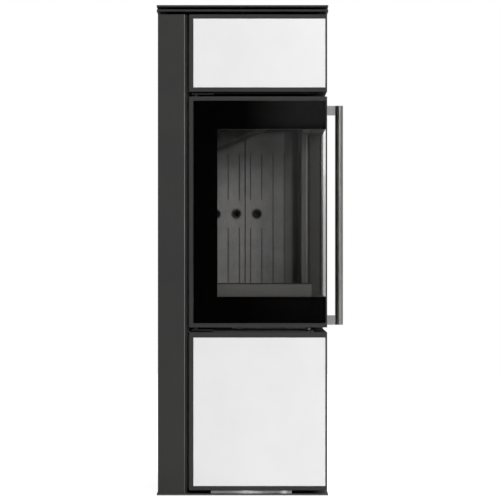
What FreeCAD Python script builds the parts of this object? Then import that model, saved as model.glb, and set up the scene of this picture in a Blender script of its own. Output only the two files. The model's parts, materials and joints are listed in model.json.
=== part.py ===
import FreeCAD, Part
import math
import os

# A free-standing wood stove in the shape of a square column. One corner is glazed over two sides, with a door that
# takes the corner with it. Millimetres, +Z up, the front faces -Y and the glazed corner is at +X -Y. The origin is
# on the floor under the middle of the casing. The left and rear sides mirror each other over the plan's diagonal,
# and so do the front and right sides.

V = FreeCAD.Vector

# Outline of the column
BODY = 458.0  # casing, side to side and front to back
PLATE_LAP = 3.0  # top and base plates stand past the casing
BASE_T = 4.0
FOOT_GAP = 10.0  # base plate to the lower module
LOWER_H = 427.5
FACADE_GAP = 13.0  # above and below the door
DOOR_H = 625.0
UPPER_H = 209.0
CROWN_GAP = 8.0  # casing to the lower top plate
CROWN_T = 5.0
CROWN_SPACE = 7.0  # between the two top plates

# Sheet metal
SHEET = 3.0
DECK_T = 4.0
STRIP_W = 73.0  # casing return beside the facade
STRIP_LIP = 16.0
STRIP_GAP = 11.5  # casing return to facade
STRIP_FLANGE = 6.0  # from the lip on behind that gap
DECK_SETBACK = 34.0
EDGE_R = 2.0  # bent and rolled edges
SMALL_R = 0.8  # edges of plates and tiles

# Tile frames and door frame
BORDER = 11.0
LOWER_HEAD = 14.0  # border over the lower tiles
FRAME_FLANGE = 40.0
TILE_T = 4.0
TILE_PLAY = 0.4
CORNER_LIP = 0.5  # frame between the two tiles at the corner
DOOR_DEPTH = 39.0
DOOR_SLIM = 25.0  # the hinge stile is slim so that it can turn
HINGE_STILE_W = 24.5
LATCH_BORDER_T = 10.0
GLASS_T = 4.0
GASKET_T = 1.5
GASKET_W = 12.0
GLASS_PLAY = 0.3
WINDOW_SIDE = 76.0  # facade end to the clear window
WINDOW_FOOT = 83.0
WINDOW_HEAD = 88.0
RIM_W = 18.0  # frame rim that carries the rope seal
ROPE_W = 10.0
ROPE_SUNK = 6.0
ROPE_EDGE = 4.0  # rope to window edge
SEAL_PLAY = 0.3

# Hinge
HINGE_IN = 17.1  # facade end to the hinge axis
HINGE_DEPTH = 14.0  # facade to the hinge axis
PIN_R = 4.0
RUN_PLAY = 0.05
BUSH_R = 7.0
BUSH_FLANGE_R = 9.0
BUSH_L = 20.0
BUSH_END = 2.0
BRACKET_T = 4.0
BRACKET_FREE = 0.5  # bush flange to bracket
BRACKET_END = 50.0  # hinge axis to the bracket's bolted end
BOLT_R = 3.0
BOLT_HEAD_R = 5.0
BOLT_HEAD_H = 3.5
BOLT_EDGE = 12.0
BOLT_PITCH = 20.0
BRACKET_MARGIN = 11.0
PIN_SHORT = 2.0

# Latch and handle
LATCH_DEPTH = 23.0  # side face to the latch shaft
LATCH_IN = 12.5  # facade end to the latch shaft
SHAFT_R = 5.0
HUB_R = 9.0
BAR_R = 11.25
BAR_OUT = 45.5  # bar axis to the door's side face
BAR_IN = 5.0  # facade end to the bar's axis
ARM_H = 27.0
ARM_T = 7.0
ARM_DROP = 2.0  # handle ends sit a little lower than the door's
NOTCH_PLAY = 2.0
KEEPER_REACH = 14.0  # shaft axis to keeper pin
KEEPER_R = 2.5
KEEPER_ANGLE = 135.0
JAW_PLAY = 1.0
JAW_W = 4.5
JAW_H = 16.0
JAW_TIP = 123.5  # angle of the jaw's free end
JAW_ROOT = 85.0
JAW_WEB = 14.0
LATCH_FROM_END = 150.0  # door end to jaw
BEARING_FROM_END = 80.0
BEARING_H = 24.0
FORK_T = 5.0
FORK_PLAY = 2.0
FORK_CLEAR = 1.5
BEARING_HALF = 10.0

# Firebox
SEAT_GAP = 2.0
SEAT_T = 22.0
SEAT_LATCH = 2.0  # seat's ends short of the latch shaft
SEAT_SIDE = 61.0  # width of the seat's posts at its ends
SEAT_FOOT = 81.0
SEAT_HEAD = 85.5
FIREBOX_GAP = 65.0  # casing to firebox
LINING_T = 30.0
LINING_SHORT = 24.0  # lining's far end to the seat
LINING_GAP = 1.0
BACK_LINING_DROP = 75.5  # below the roof
LEFT_LINING_DROP = 162.5
WALL_T = 4.0
AIR_BOX_H = 40.0
HEARTH_T = 36.0
GROOVE_W = 3.0
GROOVE_D = 2.5
GROOVE_PITCH = 32.0
GROOVE_COUNT = 5  # at most, each side of the joint
GROOVE_FOOT = 40.0
GROOVE_HEAD = 60.0
GROOVE_REACH = 26.0  # grooves nearer than this to an air hole are broken round it
GROOVE_BREAK = 40.0  # above and below the hole
AIR_HOLE_R = 7.0
AIR_HOLE_SINK_R = 13.0
AIR_HOLE_SINK_D = 9.0
AIR_HOLE_PITCH = 58.5
AIR_HOLE_OFFSET = 25.0  # lining joint to the middle hole
AIR_HOLE_RISE = 144.0  # from the holes up to the lower lining's head
GRATE_MARGIN = 40.0  # lining face to grate
GRATE_T = 10.0
GRATE_SLOT_W = 8.0
GRATE_SLOTS = 7
GRATE_RIM = 20.0
GRATE_PLAY = 1.0
GRATE_LEDGE = 8.0
PAN_WALL = 1.5
PAN_PLAY = 3.0
PAN_GAP = 3.0  # pan rim to grate
GUARD_H = 35.5
GUARD_T = 6.0
GUARD_PLAY = 1.0
BAFFLE_T = 22.0
BAFFLE_ANGLE = 22.8
BAFFLE_RUN = 245.0  # along the slope
BAFFLE_FRONT = 16.0  # front edge to the seat
UPPER_BAFFLE_DROP = 25.5  # below the roof
UPPER_BAFFLE_W = 215.0
UPPER_BAFFLE_T = 10.0
REST_W = 14.0
REST_T = 10.0
REST_PLAY = 0.5
REST_PIN_R = 4.0
PIN_SHARE = 0.75  # of the slope, to the pin under it

# Flue and air
FLUE_R = 75.0
FLUE_WALL = 2.0
FLUE_CLEAR = 6.0
FLUE_TOP_DROP = 2.0  # collar below the upper top plate
DUCT_R = 50.0
DUCT_WALL = 1.5
COLLAR_W = 14.0
COLLAR_T = 3.0
SLIDE_T = 2.0
SLIDE_H = 18.0
SLIDE_W = 170.0
SLIDE_PLAY = 0.4
SLIDE_TRAVEL = 25.0
SLIDE_LIFT = 3.0
AIR_SLOTS = 2
AIR_SLOT_W = 40.0
AIR_SLOT_H = 8.0
AIR_BOX_SETBACK = 14.0
LEVER_IN = 8.0  # seat face to the lever
LEVER_W = 8.0
LEVER_T = 4.0
LEVER_LAP = 20.0  # lever over the slide's end
LEVER_KNOB_R = 3.0
LEVER_KNOB_L = 16.0
LEVER_SETBACK = 8.0  # knob to the facade
RAIL_W = 6.0

# Plinth, crown and shields
PLINTH_SETBACK = 53.0
PLINTH_BACK = 95.0  # casing to the plinth
PLINTH_T = 3.0
PLINTH_LEFT = 51.0  # plinth beside its slot
PLINTH_RIGHT = 45.0
SPACER_R = 4.0
SPACER_SETBACK = 22.0
CROWN_RIM = 34.0
CROWN_CLEAR = 5.0  # facade end to the crown opening
SHIELD_T = 1.5
SHIELD_SETBACK = 30.0  # casing to shield
SHIELD_FREE = 12.0
SHIELD_FOOT = 14.0
SCREW_R = 4.0
SCREW_H = 2.5
SCREW_EDGE = 79.0
CLIP_L = 24.0
CLIP_W = 12.0
CLIP_T = 2.0
CLIP_END = 112.5  # door ends to the outer clips

# Levels, from the floor up
HALF = BODY / 2
Z_BASE = BASE_T
Z_LOWER = Z_BASE + FOOT_GAP
Z_LOWER_TOP = Z_LOWER + LOWER_H
Z_DOOR = Z_LOWER_TOP + FACADE_GAP
Z_DOOR_TOP = Z_DOOR + DOOR_H
Z_UPPER = Z_DOOR_TOP + FACADE_GAP
Z_UPPER_TOP = Z_UPPER + UPPER_H
Z_CROWN = Z_UPPER_TOP + CROWN_GAP
Z_CROWN_TOP = Z_CROWN + CROWN_T
Z_LID = Z_CROWN_TOP + CROWN_SPACE
Z_LID_TOP = Z_LID + CROWN_T
Z_DECK = Z_LOWER_TOP + DECK_T
Z_UPPER_DECK = Z_UPPER - DECK_T
Z_FLOOR = Z_DECK + AIR_BOX_H
Z_FIRE = Z_FLOOR + WALL_T
Z_HEARTH = Z_FIRE + HEARTH_T
Z_WINDOW = Z_DOOR + WINDOW_FOOT
Z_WINDOW_TOP = Z_DOOR_TOP - WINDOW_HEAD
Z_ROOF = Z_DOOR_TOP - WALL_T
Z_BACK_LINING = Z_ROOF - BACK_LINING_DROP
Z_LEFT_LINING = Z_ROOF - LEFT_LINING_DROP
Z_AIR_HOLES = Z_LEFT_LINING - AIR_HOLE_RISE
Z_UPPER_BAFFLE = Z_ROOF - UPPER_BAFFLE_DROP

# Places in plan
FACADE_END = -HALF + STRIP_W + STRIP_GAP
WINDOW_END = FACADE_END + WINDOW_SIDE
SKIN = GLASS_T + GASKET_T + SHEET
DEEP_END = FACADE_END + HINGE_STILE_W
SEAT_FACE = HALF - DOOR_DEPTH - SEAT_GAP
SEAT_BACK = SEAT_FACE - SEAT_T
WALL_OUT = HALF - FIREBOX_GAP
WALL_IN = WALL_OUT - WALL_T
LINING_FACE = WALL_IN - LINING_T
LINING_END = SEAT_BACK - LINING_SHORT
GRATE_W = 2 * (LINING_FACE - GRATE_MARGIN)
LINING_JOINT = (LINING_END - LINING_FACE) / 2
HINGE_X = FACADE_END + HINGE_IN
HINGE_Y = HINGE_DEPTH - HALF
LATCH_X = HALF - LATCH_DEPTH
LATCH_Y = -FACADE_END - LATCH_IN
BAR_Y = -FACADE_END - BAR_IN
SEAT_END = LATCH_Y - SEAT_LATCH
LEVER_X = SEAT_FACE - LEVER_IN
BAR_X = HALF + BAR_OUT
JAW_IN = KEEPER_REACH + KEEPER_R + JAW_PLAY
JAW_OUT = JAW_IN + JAW_W
DECK_FREE = HALF - DECK_SETBACK
CASING_IN = HALF - SHEET


def block(x0, x1, y0, y1, z0, z1):
    """A box between two corners."""
    return Part.makeBox(x1 - x0, y1 - y0, z1 - z0, V(x0, y0, z0))


def rod(x, y, z0, z1, radius):
    """An upright cylinder."""
    return Part.makeCylinder(radius, z1 - z0, V(x, y, z0))


def rod_along_y(x, z, y0, y1, radius):
    """A cylinder that lies front to back."""
    return Part.makeCylinder(radius, y1 - y0, V(x, y0, z), V(0, 1, 0))


def other_side(shape):
    """The same piece on the side across the plan's diagonal: left for rear, front for right."""
    return shape.mirror(V(0, 0, 0), V(1, 1, 0))


def both_sides(shape):
    """A piece with its twin across the diagonal."""
    return [shape, other_side(shape)]


def prism(points, z0, z1):
    """An upright prism over a closed outline."""
    corners = [V(x, y, z0) for x, y in points]
    face = Part.Face(Part.makePolygon(corners + corners[:1]))
    return face.extrude(V(0, 0, z1 - z0))


def corner_wall(inset, depth, end, z0, z1):
    """A wall round the glazed corner, inset from the facade, from x = end on the front to y = -end on the side."""
    face = HALF - inset
    back = face - depth
    outline = [(end, -face), (face, -face), (face, -end), (back, -end), (back, -back), (end, -back)]
    return prism(outline, z0, z1)


def corner_ring(inset, depth, end, z0, z1, width):
    """A corner wall with an opening that leaves a margin of the given width at its ends, foot and head."""
    outer = corner_wall(inset, depth, end, z0, z1)
    return outer.cut(corner_wall(inset - 1, depth + 2, end + width, z0 + width, z1 - width))


def soft_front(shape, z0, z1):
    """Soften the outer edges of a facade piece: its upright ends and corner, and its foot and head."""
    def outer(middle, along):
        on_front = near(middle.y, -HALF) and middle.x > FACADE_END - 1
        on_side = near(middle.x, HALF) and middle.y < 1 - FACADE_END
        end = near(middle.x, FACADE_END) or near(middle.y, -FACADE_END) or (on_front and on_side)
        level = near(middle.z, z0) or near(middle.z, z1)
        return (on_front or on_side) and (end if abs(along.z) > 0.9 else level)
    return rounded(shape, SMALL_R, outer)


def join(first, *others):
    """One solid from touching shapes."""
    return first.multiFuse(list(others)).removeSplitter()


def rounded(shape, radius, wanted):
    """Round the edges that a test on their middle point and direction picks."""
    chosen = []
    for edge in shape.Edges:
        middle = edge.valueAt((edge.FirstParameter + edge.LastParameter) / 2)
        along = edge.tangentAt((edge.FirstParameter + edge.LastParameter) / 2)
        if wanted(middle, along):
            chosen.append(edge)
    return shape.makeFillet(radius, chosen)


def near(a, b):
    """True where two lengths are the same place."""
    return abs(a - b) < 0.01


def save(name, *solids):
    """Write one piece, or a group of like solids, as its own file."""
    shape = solids[0] if len(solids) == 1 else Part.makeCompound(list(solids))
    shape.exportStep("parts/" + name + ".step")


def above(shape):
    """The same piece at the door's head, mirrored over the middle of the door's height."""
    return shape.mirror(V(0, 0, (Z_DOOR + Z_DOOR_TOP) / 2), V(0, 0, 1))


def foot_and_head(shape):
    """A piece at the door's foot with its twin at the head."""
    return [shape, above(shape)]


def plate(reach, z0, z1):
    """A square plate with softened upright edges."""
    blank = block(-reach, reach, -reach, reach, z0, z1)
    return rounded(blank, EDGE_R, lambda middle, along: abs(along.z) > 0.9)


def casing(rear_end):
    """A bent side panel with a narrow return beside the facade, a lip turned in at its edge and a flange on it."""
    left = -HALF
    inner = left + SHEET
    edge = left + STRIP_W
    lip = left + STRIP_LIP
    flange = edge + STRIP_FLANGE
    outline = [(left, left), (edge, left), (edge, lip), (flange, lip), (flange, lip + SHEET)]
    outline += [(edge - SHEET, lip + SHEET), (edge - SHEET, inner), (inner, inner)]
    outline += [(inner, rear_end), (left, rear_end)]
    shell = prism(outline, Z_BASE, Z_UPPER_TOP)
    return rounded(shell, EDGE_R, lambda middle, along: abs(along.z) > 0.9 and near(middle.y, left))


def make_base():
    """Base plate with the air inlet hole, recessed plinth and the floor panel that it carries."""
    hole = rod(0, 0, -1, Z_LOWER + SHEET + 1, DUCT_R + RUN_PLAY)
    save("base_plate", plate(HALF + PLATE_LAP, 0, Z_BASE).cut(hole))
    near_side = HALF - PLINTH_SETBACK
    far_side = HALF - PLINTH_BACK
    ring = block(-far_side, near_side, -near_side, far_side, Z_BASE, Z_LOWER)
    inner = block(PLINTH_T - far_side, near_side - PLINTH_T, PLINTH_T - near_side, far_side - PLINTH_T,
                  Z_BASE - 1, Z_LOWER + 1)
    slot = block(PLINTH_LEFT - far_side, near_side - PLINTH_RIGHT, -near_side - 1, PLINTH_T - near_side + 1,
                 Z_BASE - 1, Z_LOWER + 1)
    save("plinth", *ring.cut(inner).cut(slot).cut(other_side(slot)).Solids)
    free = HALF - FRAME_FLANGE
    floor = block(-CASING_IN, free, -free, CASING_IN, Z_LOWER, Z_LOWER + SHEET)
    save("floor_panel", floor.cut(hole))


def make_casing():
    """Left and rear casing panels and the screws that hold them to the decks."""
    save("left_casing", casing(HALF))
    save("rear_casing", other_side(casing(CASING_IN)))
    heads = []
    spread = HALF - SCREW_EDGE
    for z in (Z_DECK - DECK_T / 2, Z_UPPER_DECK + DECK_T / 2):
        for x in (-spread, 0, spread):
            heads += both_sides(rod_along_y(x, z, HALF, HALF + SCREW_H, SCREW_R))
    save("casing_screws", *heads)


def tile_frame(z0, z1, head):
    """A tray round the corner, with a pocket for a tile on each side and flanges turned in behind."""
    tray = corner_wall(0, FRAME_FLANGE, FACADE_END, z0, z1)
    behind = TILE_T + SHEET
    hollow = corner_wall(behind, FRAME_FLANGE, FACADE_END + SHEET, z0 + SHEET, z1 - SHEET)
    right = HALF - TILE_T - CORNER_LIP
    pocket = block(FACADE_END + BORDER, right, -HALF - 1, TILE_T - HALF, z0 + BORDER, z1 - head)
    tray = soft_front(tray, z0, z1)
    return tray.cut(hollow).cut(pocket).cut(other_side(pocket))


def tile(z0, z1, head):
    """A glazed tile that fills the front pocket of its frame, with softened front edges."""
    left = FACADE_END + BORDER + TILE_PLAY
    right = HALF - TILE_T - CORNER_LIP - TILE_PLAY
    blank = block(left, right, -HALF, TILE_T - HALF, z0 + BORDER + TILE_PLAY, z1 - head - TILE_PLAY)
    return rounded(blank, SMALL_R, lambda middle, along: near(middle.y, -HALF))


def tile_clips(z0, z1):
    """Spring clips behind the tray that hold the tiles in."""
    clips = []
    back = TILE_T + SHEET - HALF
    for x in (FACADE_END + BORDER + CLIP_L, HALF - FRAME_FLANGE - CLIP_L):
        for z in (z0 + BORDER + CLIP_L, z1 - BORDER - CLIP_L):
            clip = block(x - CLIP_L / 2, x + CLIP_L / 2, back, back + CLIP_T, z - CLIP_W / 2, z + CLIP_W / 2)
            clips += both_sides(clip)
    return clips


def make_facade():
    """The two tiled modules, below and above the door."""
    modules = [("lower", Z_LOWER, Z_LOWER_TOP, LOWER_HEAD), ("upper", Z_UPPER, Z_UPPER_TOP, BORDER)]
    for level, z0, z1, head in modules:
        save(level + "_tile_frame", tile_frame(z0, z1, head))
        save(level + "_front_tile", tile(z0, z1, head))
        save(level + "_side_tile", other_side(tile(z0, z1, head)))
    save("tile_clips", *tile_clips(Z_LOWER, Z_LOWER_TOP), *tile_clips(Z_UPPER, Z_UPPER_TOP))


def make_decks():
    """The two decks that carry the firebox and the hinge brackets."""
    deck = block(-CASING_IN, DECK_FREE, -DECK_FREE, CASING_IN, Z_LOWER_TOP, Z_DECK)
    bolt_holes = [rod(x, y, Z_LOWER_TOP - 1, Z_DECK + 1, BOLT_R + RUN_PLAY) for x, y in bolt_places()]
    duct_hole = rod(0, 0, Z_LOWER_TOP - 1, Z_DECK + 1, DUCT_R + RUN_PLAY)
    save("hearth_deck", deck.cut(bolt_holes + [duct_hole]))
    flue_hole = rod(0, 0, Z_UPPER_DECK - 1, Z_UPPER + 1, FLUE_R + FLUE_WALL + FLUE_CLEAR)
    save("upper_deck", above(deck.cut(bolt_holes)).cut(flue_hole))


def bolt_places():
    """Where each hinge bracket is bolted to its deck."""
    y = -DECK_FREE + BOLT_EDGE
    return [(HINGE_X + BRACKET_END - BOLT_EDGE - BOLT_PITCH, y), (HINGE_X + BRACKET_END - BOLT_EDGE, y)]


def make_hinge():
    """Hinge brackets on the decks, their pins and their bolts."""
    z_top = Z_DECK + BRACKET_T
    bracket = block(HINGE_X - BRACKET_MARGIN, HINGE_X + BRACKET_END, HINGE_Y - BRACKET_MARGIN,
                    2 * BOLT_EDGE - DECK_FREE, Z_DECK, z_top)
    holes = [rod(x, y, Z_DECK - 1, z_top + 1, BOLT_R + RUN_PLAY) for x, y in bolt_places()]
    holes.append(rod(HINGE_X, HINGE_Y, Z_DECK - 1, z_top + 1, PIN_R + RUN_PLAY))
    bracket = bracket.cut(holes)
    bracket = rounded(bracket, EDGE_R, lambda middle, along: abs(along.z) > 0.9 and near(middle.y, HINGE_Y
                      - BRACKET_MARGIN))
    save("hinge_brackets", *foot_and_head(bracket))
    save("hinge_pins", *foot_and_head(rod(HINGE_X, HINGE_Y, Z_DECK, Z_DOOR + BUSH_L - PIN_SHORT, PIN_R)))
    bolts = []
    for x, y in bolt_places():
        bolt = join(rod(x, y, Z_LOWER_TOP, z_top, BOLT_R), rod(x, y, z_top, z_top + BOLT_HEAD_H, BOLT_HEAD_R))
        bolts += foot_and_head(bolt)
    save("hinge_bolts", *bolts)


def seal_band(inset, depth):
    """The band of the rope seal round the window, between two depths behind the facade."""
    margin = ROPE_EDGE + ROPE_W
    return corner_ring(inset, depth, WINDOW_END - margin, Z_WINDOW - margin, Z_WINDOW_TOP + margin, ROPE_W)


def door_frame():
    """The welded door frame: slim hinge stile, hollow rails, window rim with its rope groove and latch border."""
    frame = corner_wall(0, DOOR_DEPTH, DEEP_END, Z_DOOR, Z_DOOR_TOP)
    hinge_stile = block(FACADE_END, DEEP_END, -HALF, DOOR_SLIM - HALF, Z_DOOR, Z_DOOR_TOP)
    latch_border = block(HALF - LATCH_BORDER_T, HALF, -DEEP_END, -FACADE_END, Z_DOOR, Z_DOOR_TOP)
    hollow = corner_wall(SKIN, DOOR_DEPTH, DEEP_END + SHEET, Z_DOOR + SHEET, Z_DOOR_TOP - SHEET)
    rim = corner_wall(0, 2 * DOOR_DEPTH, WINDOW_END - RIM_W, Z_WINDOW - RIM_W, Z_WINDOW_TOP + RIM_W)
    window = corner_wall(-1, 2 * DOOR_DEPTH, WINDOW_END, Z_WINDOW, Z_WINDOW_TOP)
    pocket = corner_wall(-1, GLASS_T + GASKET_T + 1, FACADE_END + BORDER, Z_DOOR + BORDER, Z_DOOR_TOP - BORDER)
    bush_hole = rod(HINGE_X, HINGE_Y, Z_DOOR - 1, Z_DOOR + BUSH_L + BUSH_END, BUSH_R + RUN_PLAY)
    notch_y = BAR_Y - ARM_T / 2 - NOTCH_PLAY
    z_foot = Z_DOOR - ARM_DROP
    z_head = Z_DOOR_TOP - ARM_DROP
    foot_notch = block(HALF - LATCH_BORDER_T - 1, HALF + 1, notch_y, 1 - FACADE_END, z_foot - 1,
                       z_foot + ARM_H + NOTCH_PLAY)
    head_notch = block(HALF - LATCH_BORDER_T - 1, HALF + 1, notch_y, 1 - FACADE_END, z_head - ARM_H - NOTCH_PLAY,
                       Z_DOOR_TOP + 1)
    frame = soft_front(join(frame, hinge_stile, latch_border), Z_DOOR, Z_DOOR_TOP)
    cuts = [hollow.cut(rim), window, pocket, seal_band(DOOR_DEPTH - ROPE_SUNK, ROPE_SUNK + 1)]
    return frame.cut(cuts + foot_and_head(bush_hole) + [foot_notch, head_notch])


def glass_fixings():
    """Clips behind the frame's skin beside the window, with the screw in each."""
    fixings = []
    x = (DEEP_END + SHEET + WINDOW_END - RIM_W) / 2
    y = SKIN - HALF
    middle = (Z_DOOR + Z_DOOR_TOP) / 2
    for z in (Z_DOOR + CLIP_END, middle, Z_DOOR_TOP - CLIP_END):
        clip = block(x - CLIP_W / 2, x + CLIP_W / 2, y, y + CLIP_T, z - CLIP_L / 2, z + CLIP_L / 2)
        fixings += both_sides(clip)
        fixings += both_sides(rod_along_y(x, z, y + CLIP_T, y + CLIP_T + SCREW_H, SCREW_R))
    return fixings


def make_door():
    """The corner door: frame, two panes with their trim and gasket, rope seal, clips and hinge bushes."""
    save("door_frame", door_frame())
    z0 = Z_DOOR + BORDER + GLASS_PLAY
    z1 = Z_DOOR_TOP - BORDER - GLASS_PLAY
    pane = block(FACADE_END + BORDER + GLASS_PLAY, HALF - GLASS_T, -HALF, GLASS_T - HALF, z0, z1)
    save("front_glass", pane)
    save("side_glass", other_side(pane))
    save("corner_trim", block(HALF - GLASS_T, HALF, -HALF, GLASS_T - HALF, z0, z1))
    save("glass_gasket", corner_ring(GLASS_T, GASKET_T, WINDOW_END - GASKET_W, Z_WINDOW - GASKET_W,
                                     Z_WINDOW_TOP + GASKET_W, GASKET_W))
    save("door_rope_seal", seal_band(DOOR_DEPTH - ROPE_SUNK, ROPE_SUNK + SEAT_GAP - SEAL_PLAY))
    save("glass_clips", *glass_fixings())
    z_flange = Z_DECK + BRACKET_T + BRACKET_FREE
    bush = join(rod(HINGE_X, HINGE_Y, Z_DOOR, Z_DOOR + BUSH_L, BUSH_R),
                rod(HINGE_X, HINGE_Y, z_flange, Z_DOOR, BUSH_FLANGE_R))
    bush = bush.cut(rod(HINGE_X, HINGE_Y, Z_DECK, Z_DOOR + BUSH_L + 1, PIN_R + RUN_PLAY))
    save("hinge_bushes", *foot_and_head(bush))


def sector(radius, root, turn, z0, z1):
    """A slice of a cylinder about the latch shaft, from one angle through a turn."""
    slice_ = Part.makeCylinder(radius, z1 - z0, V(LATCH_X, LATCH_Y, z0), V(0, 0, 1), turn)
    slice_.rotate(V(LATCH_X, LATCH_Y, z0), V(0, 0, 1), root)
    return slice_


def latch_hook(z):
    """A hub on the shaft with a curved jaw that turns in behind its keeper."""
    z0 = z - JAW_H / 2
    z1 = z + JAW_H / 2
    jaw = sector(JAW_OUT, JAW_ROOT, JAW_TIP - JAW_ROOT, z0, z1)
    jaw = jaw.cut(rod(LATCH_X, LATCH_Y, z0 - 1, z1 + 1, JAW_IN))
    web = sector(JAW_OUT, JAW_ROOT, JAW_WEB, z0, z1)
    hook = join(rod(LATCH_X, LATCH_Y, z0, z1, HUB_R), web, jaw)
    return hook.cut(rod(LATCH_X, LATCH_Y, z0 - 1, z1 + 1, SHAFT_R + RUN_PLAY))


def latch_keeper(z):
    """A fork on the end of the seat that holds an upright keeper pin."""
    angle = math.radians(KEEPER_ANGLE)
    x = LATCH_X + KEEPER_REACH * math.cos(angle)
    y = LATCH_Y + KEEPER_REACH * math.sin(angle)
    reach = JAW_H / 2 + FORK_PLAY
    x_far = LATCH_X - SHAFT_R - FORK_CLEAR
    y_far = y + 2 * KEEPER_R
    lower = block(SEAT_BACK + WALL_T + FORK_CLEAR, x_far, SEAT_END, y_far, z - reach - FORK_T, z - reach)
    upper = block(SEAT_BACK + WALL_T + FORK_CLEAR, x_far, SEAT_END, y_far, z + reach, z + reach + FORK_T)
    return join(lower, upper, rod(x, y, z - reach - FORK_T, z + reach + FORK_T, KEEPER_R))


def latch_bearing(z):
    """A block on the rear stile that the latch shaft turns in."""
    body = block(LATCH_X - BEARING_HALF, LATCH_X + BEARING_HALF, -DEEP_END, LATCH_Y + BEARING_HALF,
                 z - BEARING_H / 2, z + BEARING_H / 2)
    return body.cut(rod(LATCH_X, LATCH_Y, z - BEARING_H, z + BEARING_H, SHAFT_R + RUN_PLAY))


def handle_arm(z0):
    """A flat arm from its hub on the shaft to the handle bar."""
    z1 = z0 + ARM_H
    blade = block(LATCH_X, BAR_X, BAR_Y - ARM_T / 2, BAR_Y + ARM_T / 2, z0, z1)
    arm = join(rod(LATCH_X, LATCH_Y, z0, z1, HUB_R), blade)
    shaft_hole = rod(LATCH_X, LATCH_Y, z0 - 1, z1 + 1, SHAFT_R + RUN_PLAY)
    return arm.cut([shaft_hole, rod(BAR_X, BAR_Y, z0 - 1, z1 + 1, BAR_R + RUN_PLAY)])


def make_latch():
    """The latch: shaft, hooks, arms and bar, its bearings on the door and the keepers on the stove."""
    z_foot = Z_DOOR - ARM_DROP
    z_head = Z_DOOR_TOP - ARM_DROP
    save("latch_shaft", rod(LATCH_X, LATCH_Y, z_foot, z_head, SHAFT_R))
    bar = rod(BAR_X, BAR_Y, z_foot, z_head, BAR_R)
    save("handle_bar", rounded(bar, SMALL_R, lambda middle, along: abs(along.z) < 0.1))
    save("handle_arms", handle_arm(z_foot), handle_arm(z_head - ARM_H))
    jaws = (Z_DOOR + LATCH_FROM_END, Z_DOOR_TOP - LATCH_FROM_END)
    save("latch_hooks", *[latch_hook(z) for z in jaws])
    save("latch_keepers", *[latch_keeper(z) for z in jaws])
    bearings = (Z_DOOR + BEARING_FROM_END, Z_DOOR_TOP - BEARING_FROM_END)
    save("latch_bearings", *[latch_bearing(z) for z in bearings])


def make_seat():
    """The seat behind the door, with cheeks that close it to the firebox walls, and the log guard in its opening."""
    inset = DOOR_DEPTH + SEAT_GAP
    opening_end = SEAT_SIDE - SEAT_END
    opening_foot = Z_DOOR + SEAT_FOOT
    seat = corner_wall(inset, SEAT_T, -SEAT_END, Z_DOOR, Z_DOOR_TOP)
    seat = seat.cut(corner_wall(inset - 1, SEAT_T + 2, opening_end, opening_foot, Z_DOOR_TOP - SEAT_HEAD))
    cheek = block(SEAT_BACK, SEAT_BACK + WALL_T, SEAT_END, WALL_OUT, Z_DOOR, Z_DOOR_TOP)
    save("door_seat", join(seat, *both_sides(cheek)))
    save("log_guard", corner_wall(inset, GUARD_T, opening_end + GUARD_PLAY, opening_foot, opening_foot + GUARD_H))


def make_firebox():
    """The firebox shell: floor, two walls and roof with the flue hole."""
    floor = block(-WALL_OUT, SEAT_BACK, -SEAT_BACK, WALL_OUT, Z_FLOOR, Z_FIRE)
    wall = block(-WALL_OUT, -WALL_IN, -SEAT_BACK, WALL_IN, Z_FIRE, Z_ROOF)
    rear_wall = block(-WALL_OUT, SEAT_BACK, WALL_IN, WALL_OUT, Z_FIRE, Z_ROOF)
    roof = block(-WALL_OUT, SEAT_BACK, -SEAT_BACK, WALL_OUT, Z_ROOF, Z_ROOF + WALL_T)
    save("firebox_floor", floor)
    save("firebox_left_wall", wall)
    save("firebox_rear_wall", rear_wall)
    save("firebox_roof", roof.cut(rod(0, 0, Z_ROOF - 1, Z_ROOF + WALL_T + 1, FLUE_R)))


def lining_panel(x0, x1, top):
    """A back lining slab with upright grooves in its face and countersunk air holes where they fall inside it."""
    panel = block(x0, x1, LINING_FACE, WALL_IN, Z_HEARTH, top)
    foot = Z_HEARTH + GROOVE_FOOT
    head = top - GROOVE_HEAD
    holes = [LINING_JOINT - AIR_HOLE_OFFSET + step * AIR_HOLE_PITCH for step in (-1, 0, 1)]
    cuts = []
    for step in range(-GROOVE_COUNT, GROOVE_COUNT):
        x = LINING_JOINT + (step + 0.5) * GROOVE_PITCH
        if x0 + GROOVE_PITCH / 2 < x + GROOVE_W < x1:
            runs = [(foot, head)]
            if min(abs(x - hole) for hole in holes) < GROOVE_REACH:
                runs = [(foot, Z_AIR_HOLES - GROOVE_BREAK), (Z_AIR_HOLES + GROOVE_BREAK, head)]
            bed = LINING_FACE + GROOVE_D
            for z0, z1 in runs:
                cuts.append(block(x - GROOVE_W / 2, x + GROOVE_W / 2, LINING_FACE - 1, bed, z0, z1))
    for x in holes:
        if x0 < x < x1:
            sink = Part.makeCone(AIR_HOLE_SINK_R, AIR_HOLE_R, AIR_HOLE_SINK_D, V(x, LINING_FACE, Z_AIR_HOLES),
                                 V(0, 1, 0))
            cuts += [sink, rod_along_y(x, Z_AIR_HOLES, LINING_FACE, WALL_IN + 1, AIR_HOLE_R)]
    return panel.cut(cuts)


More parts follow.
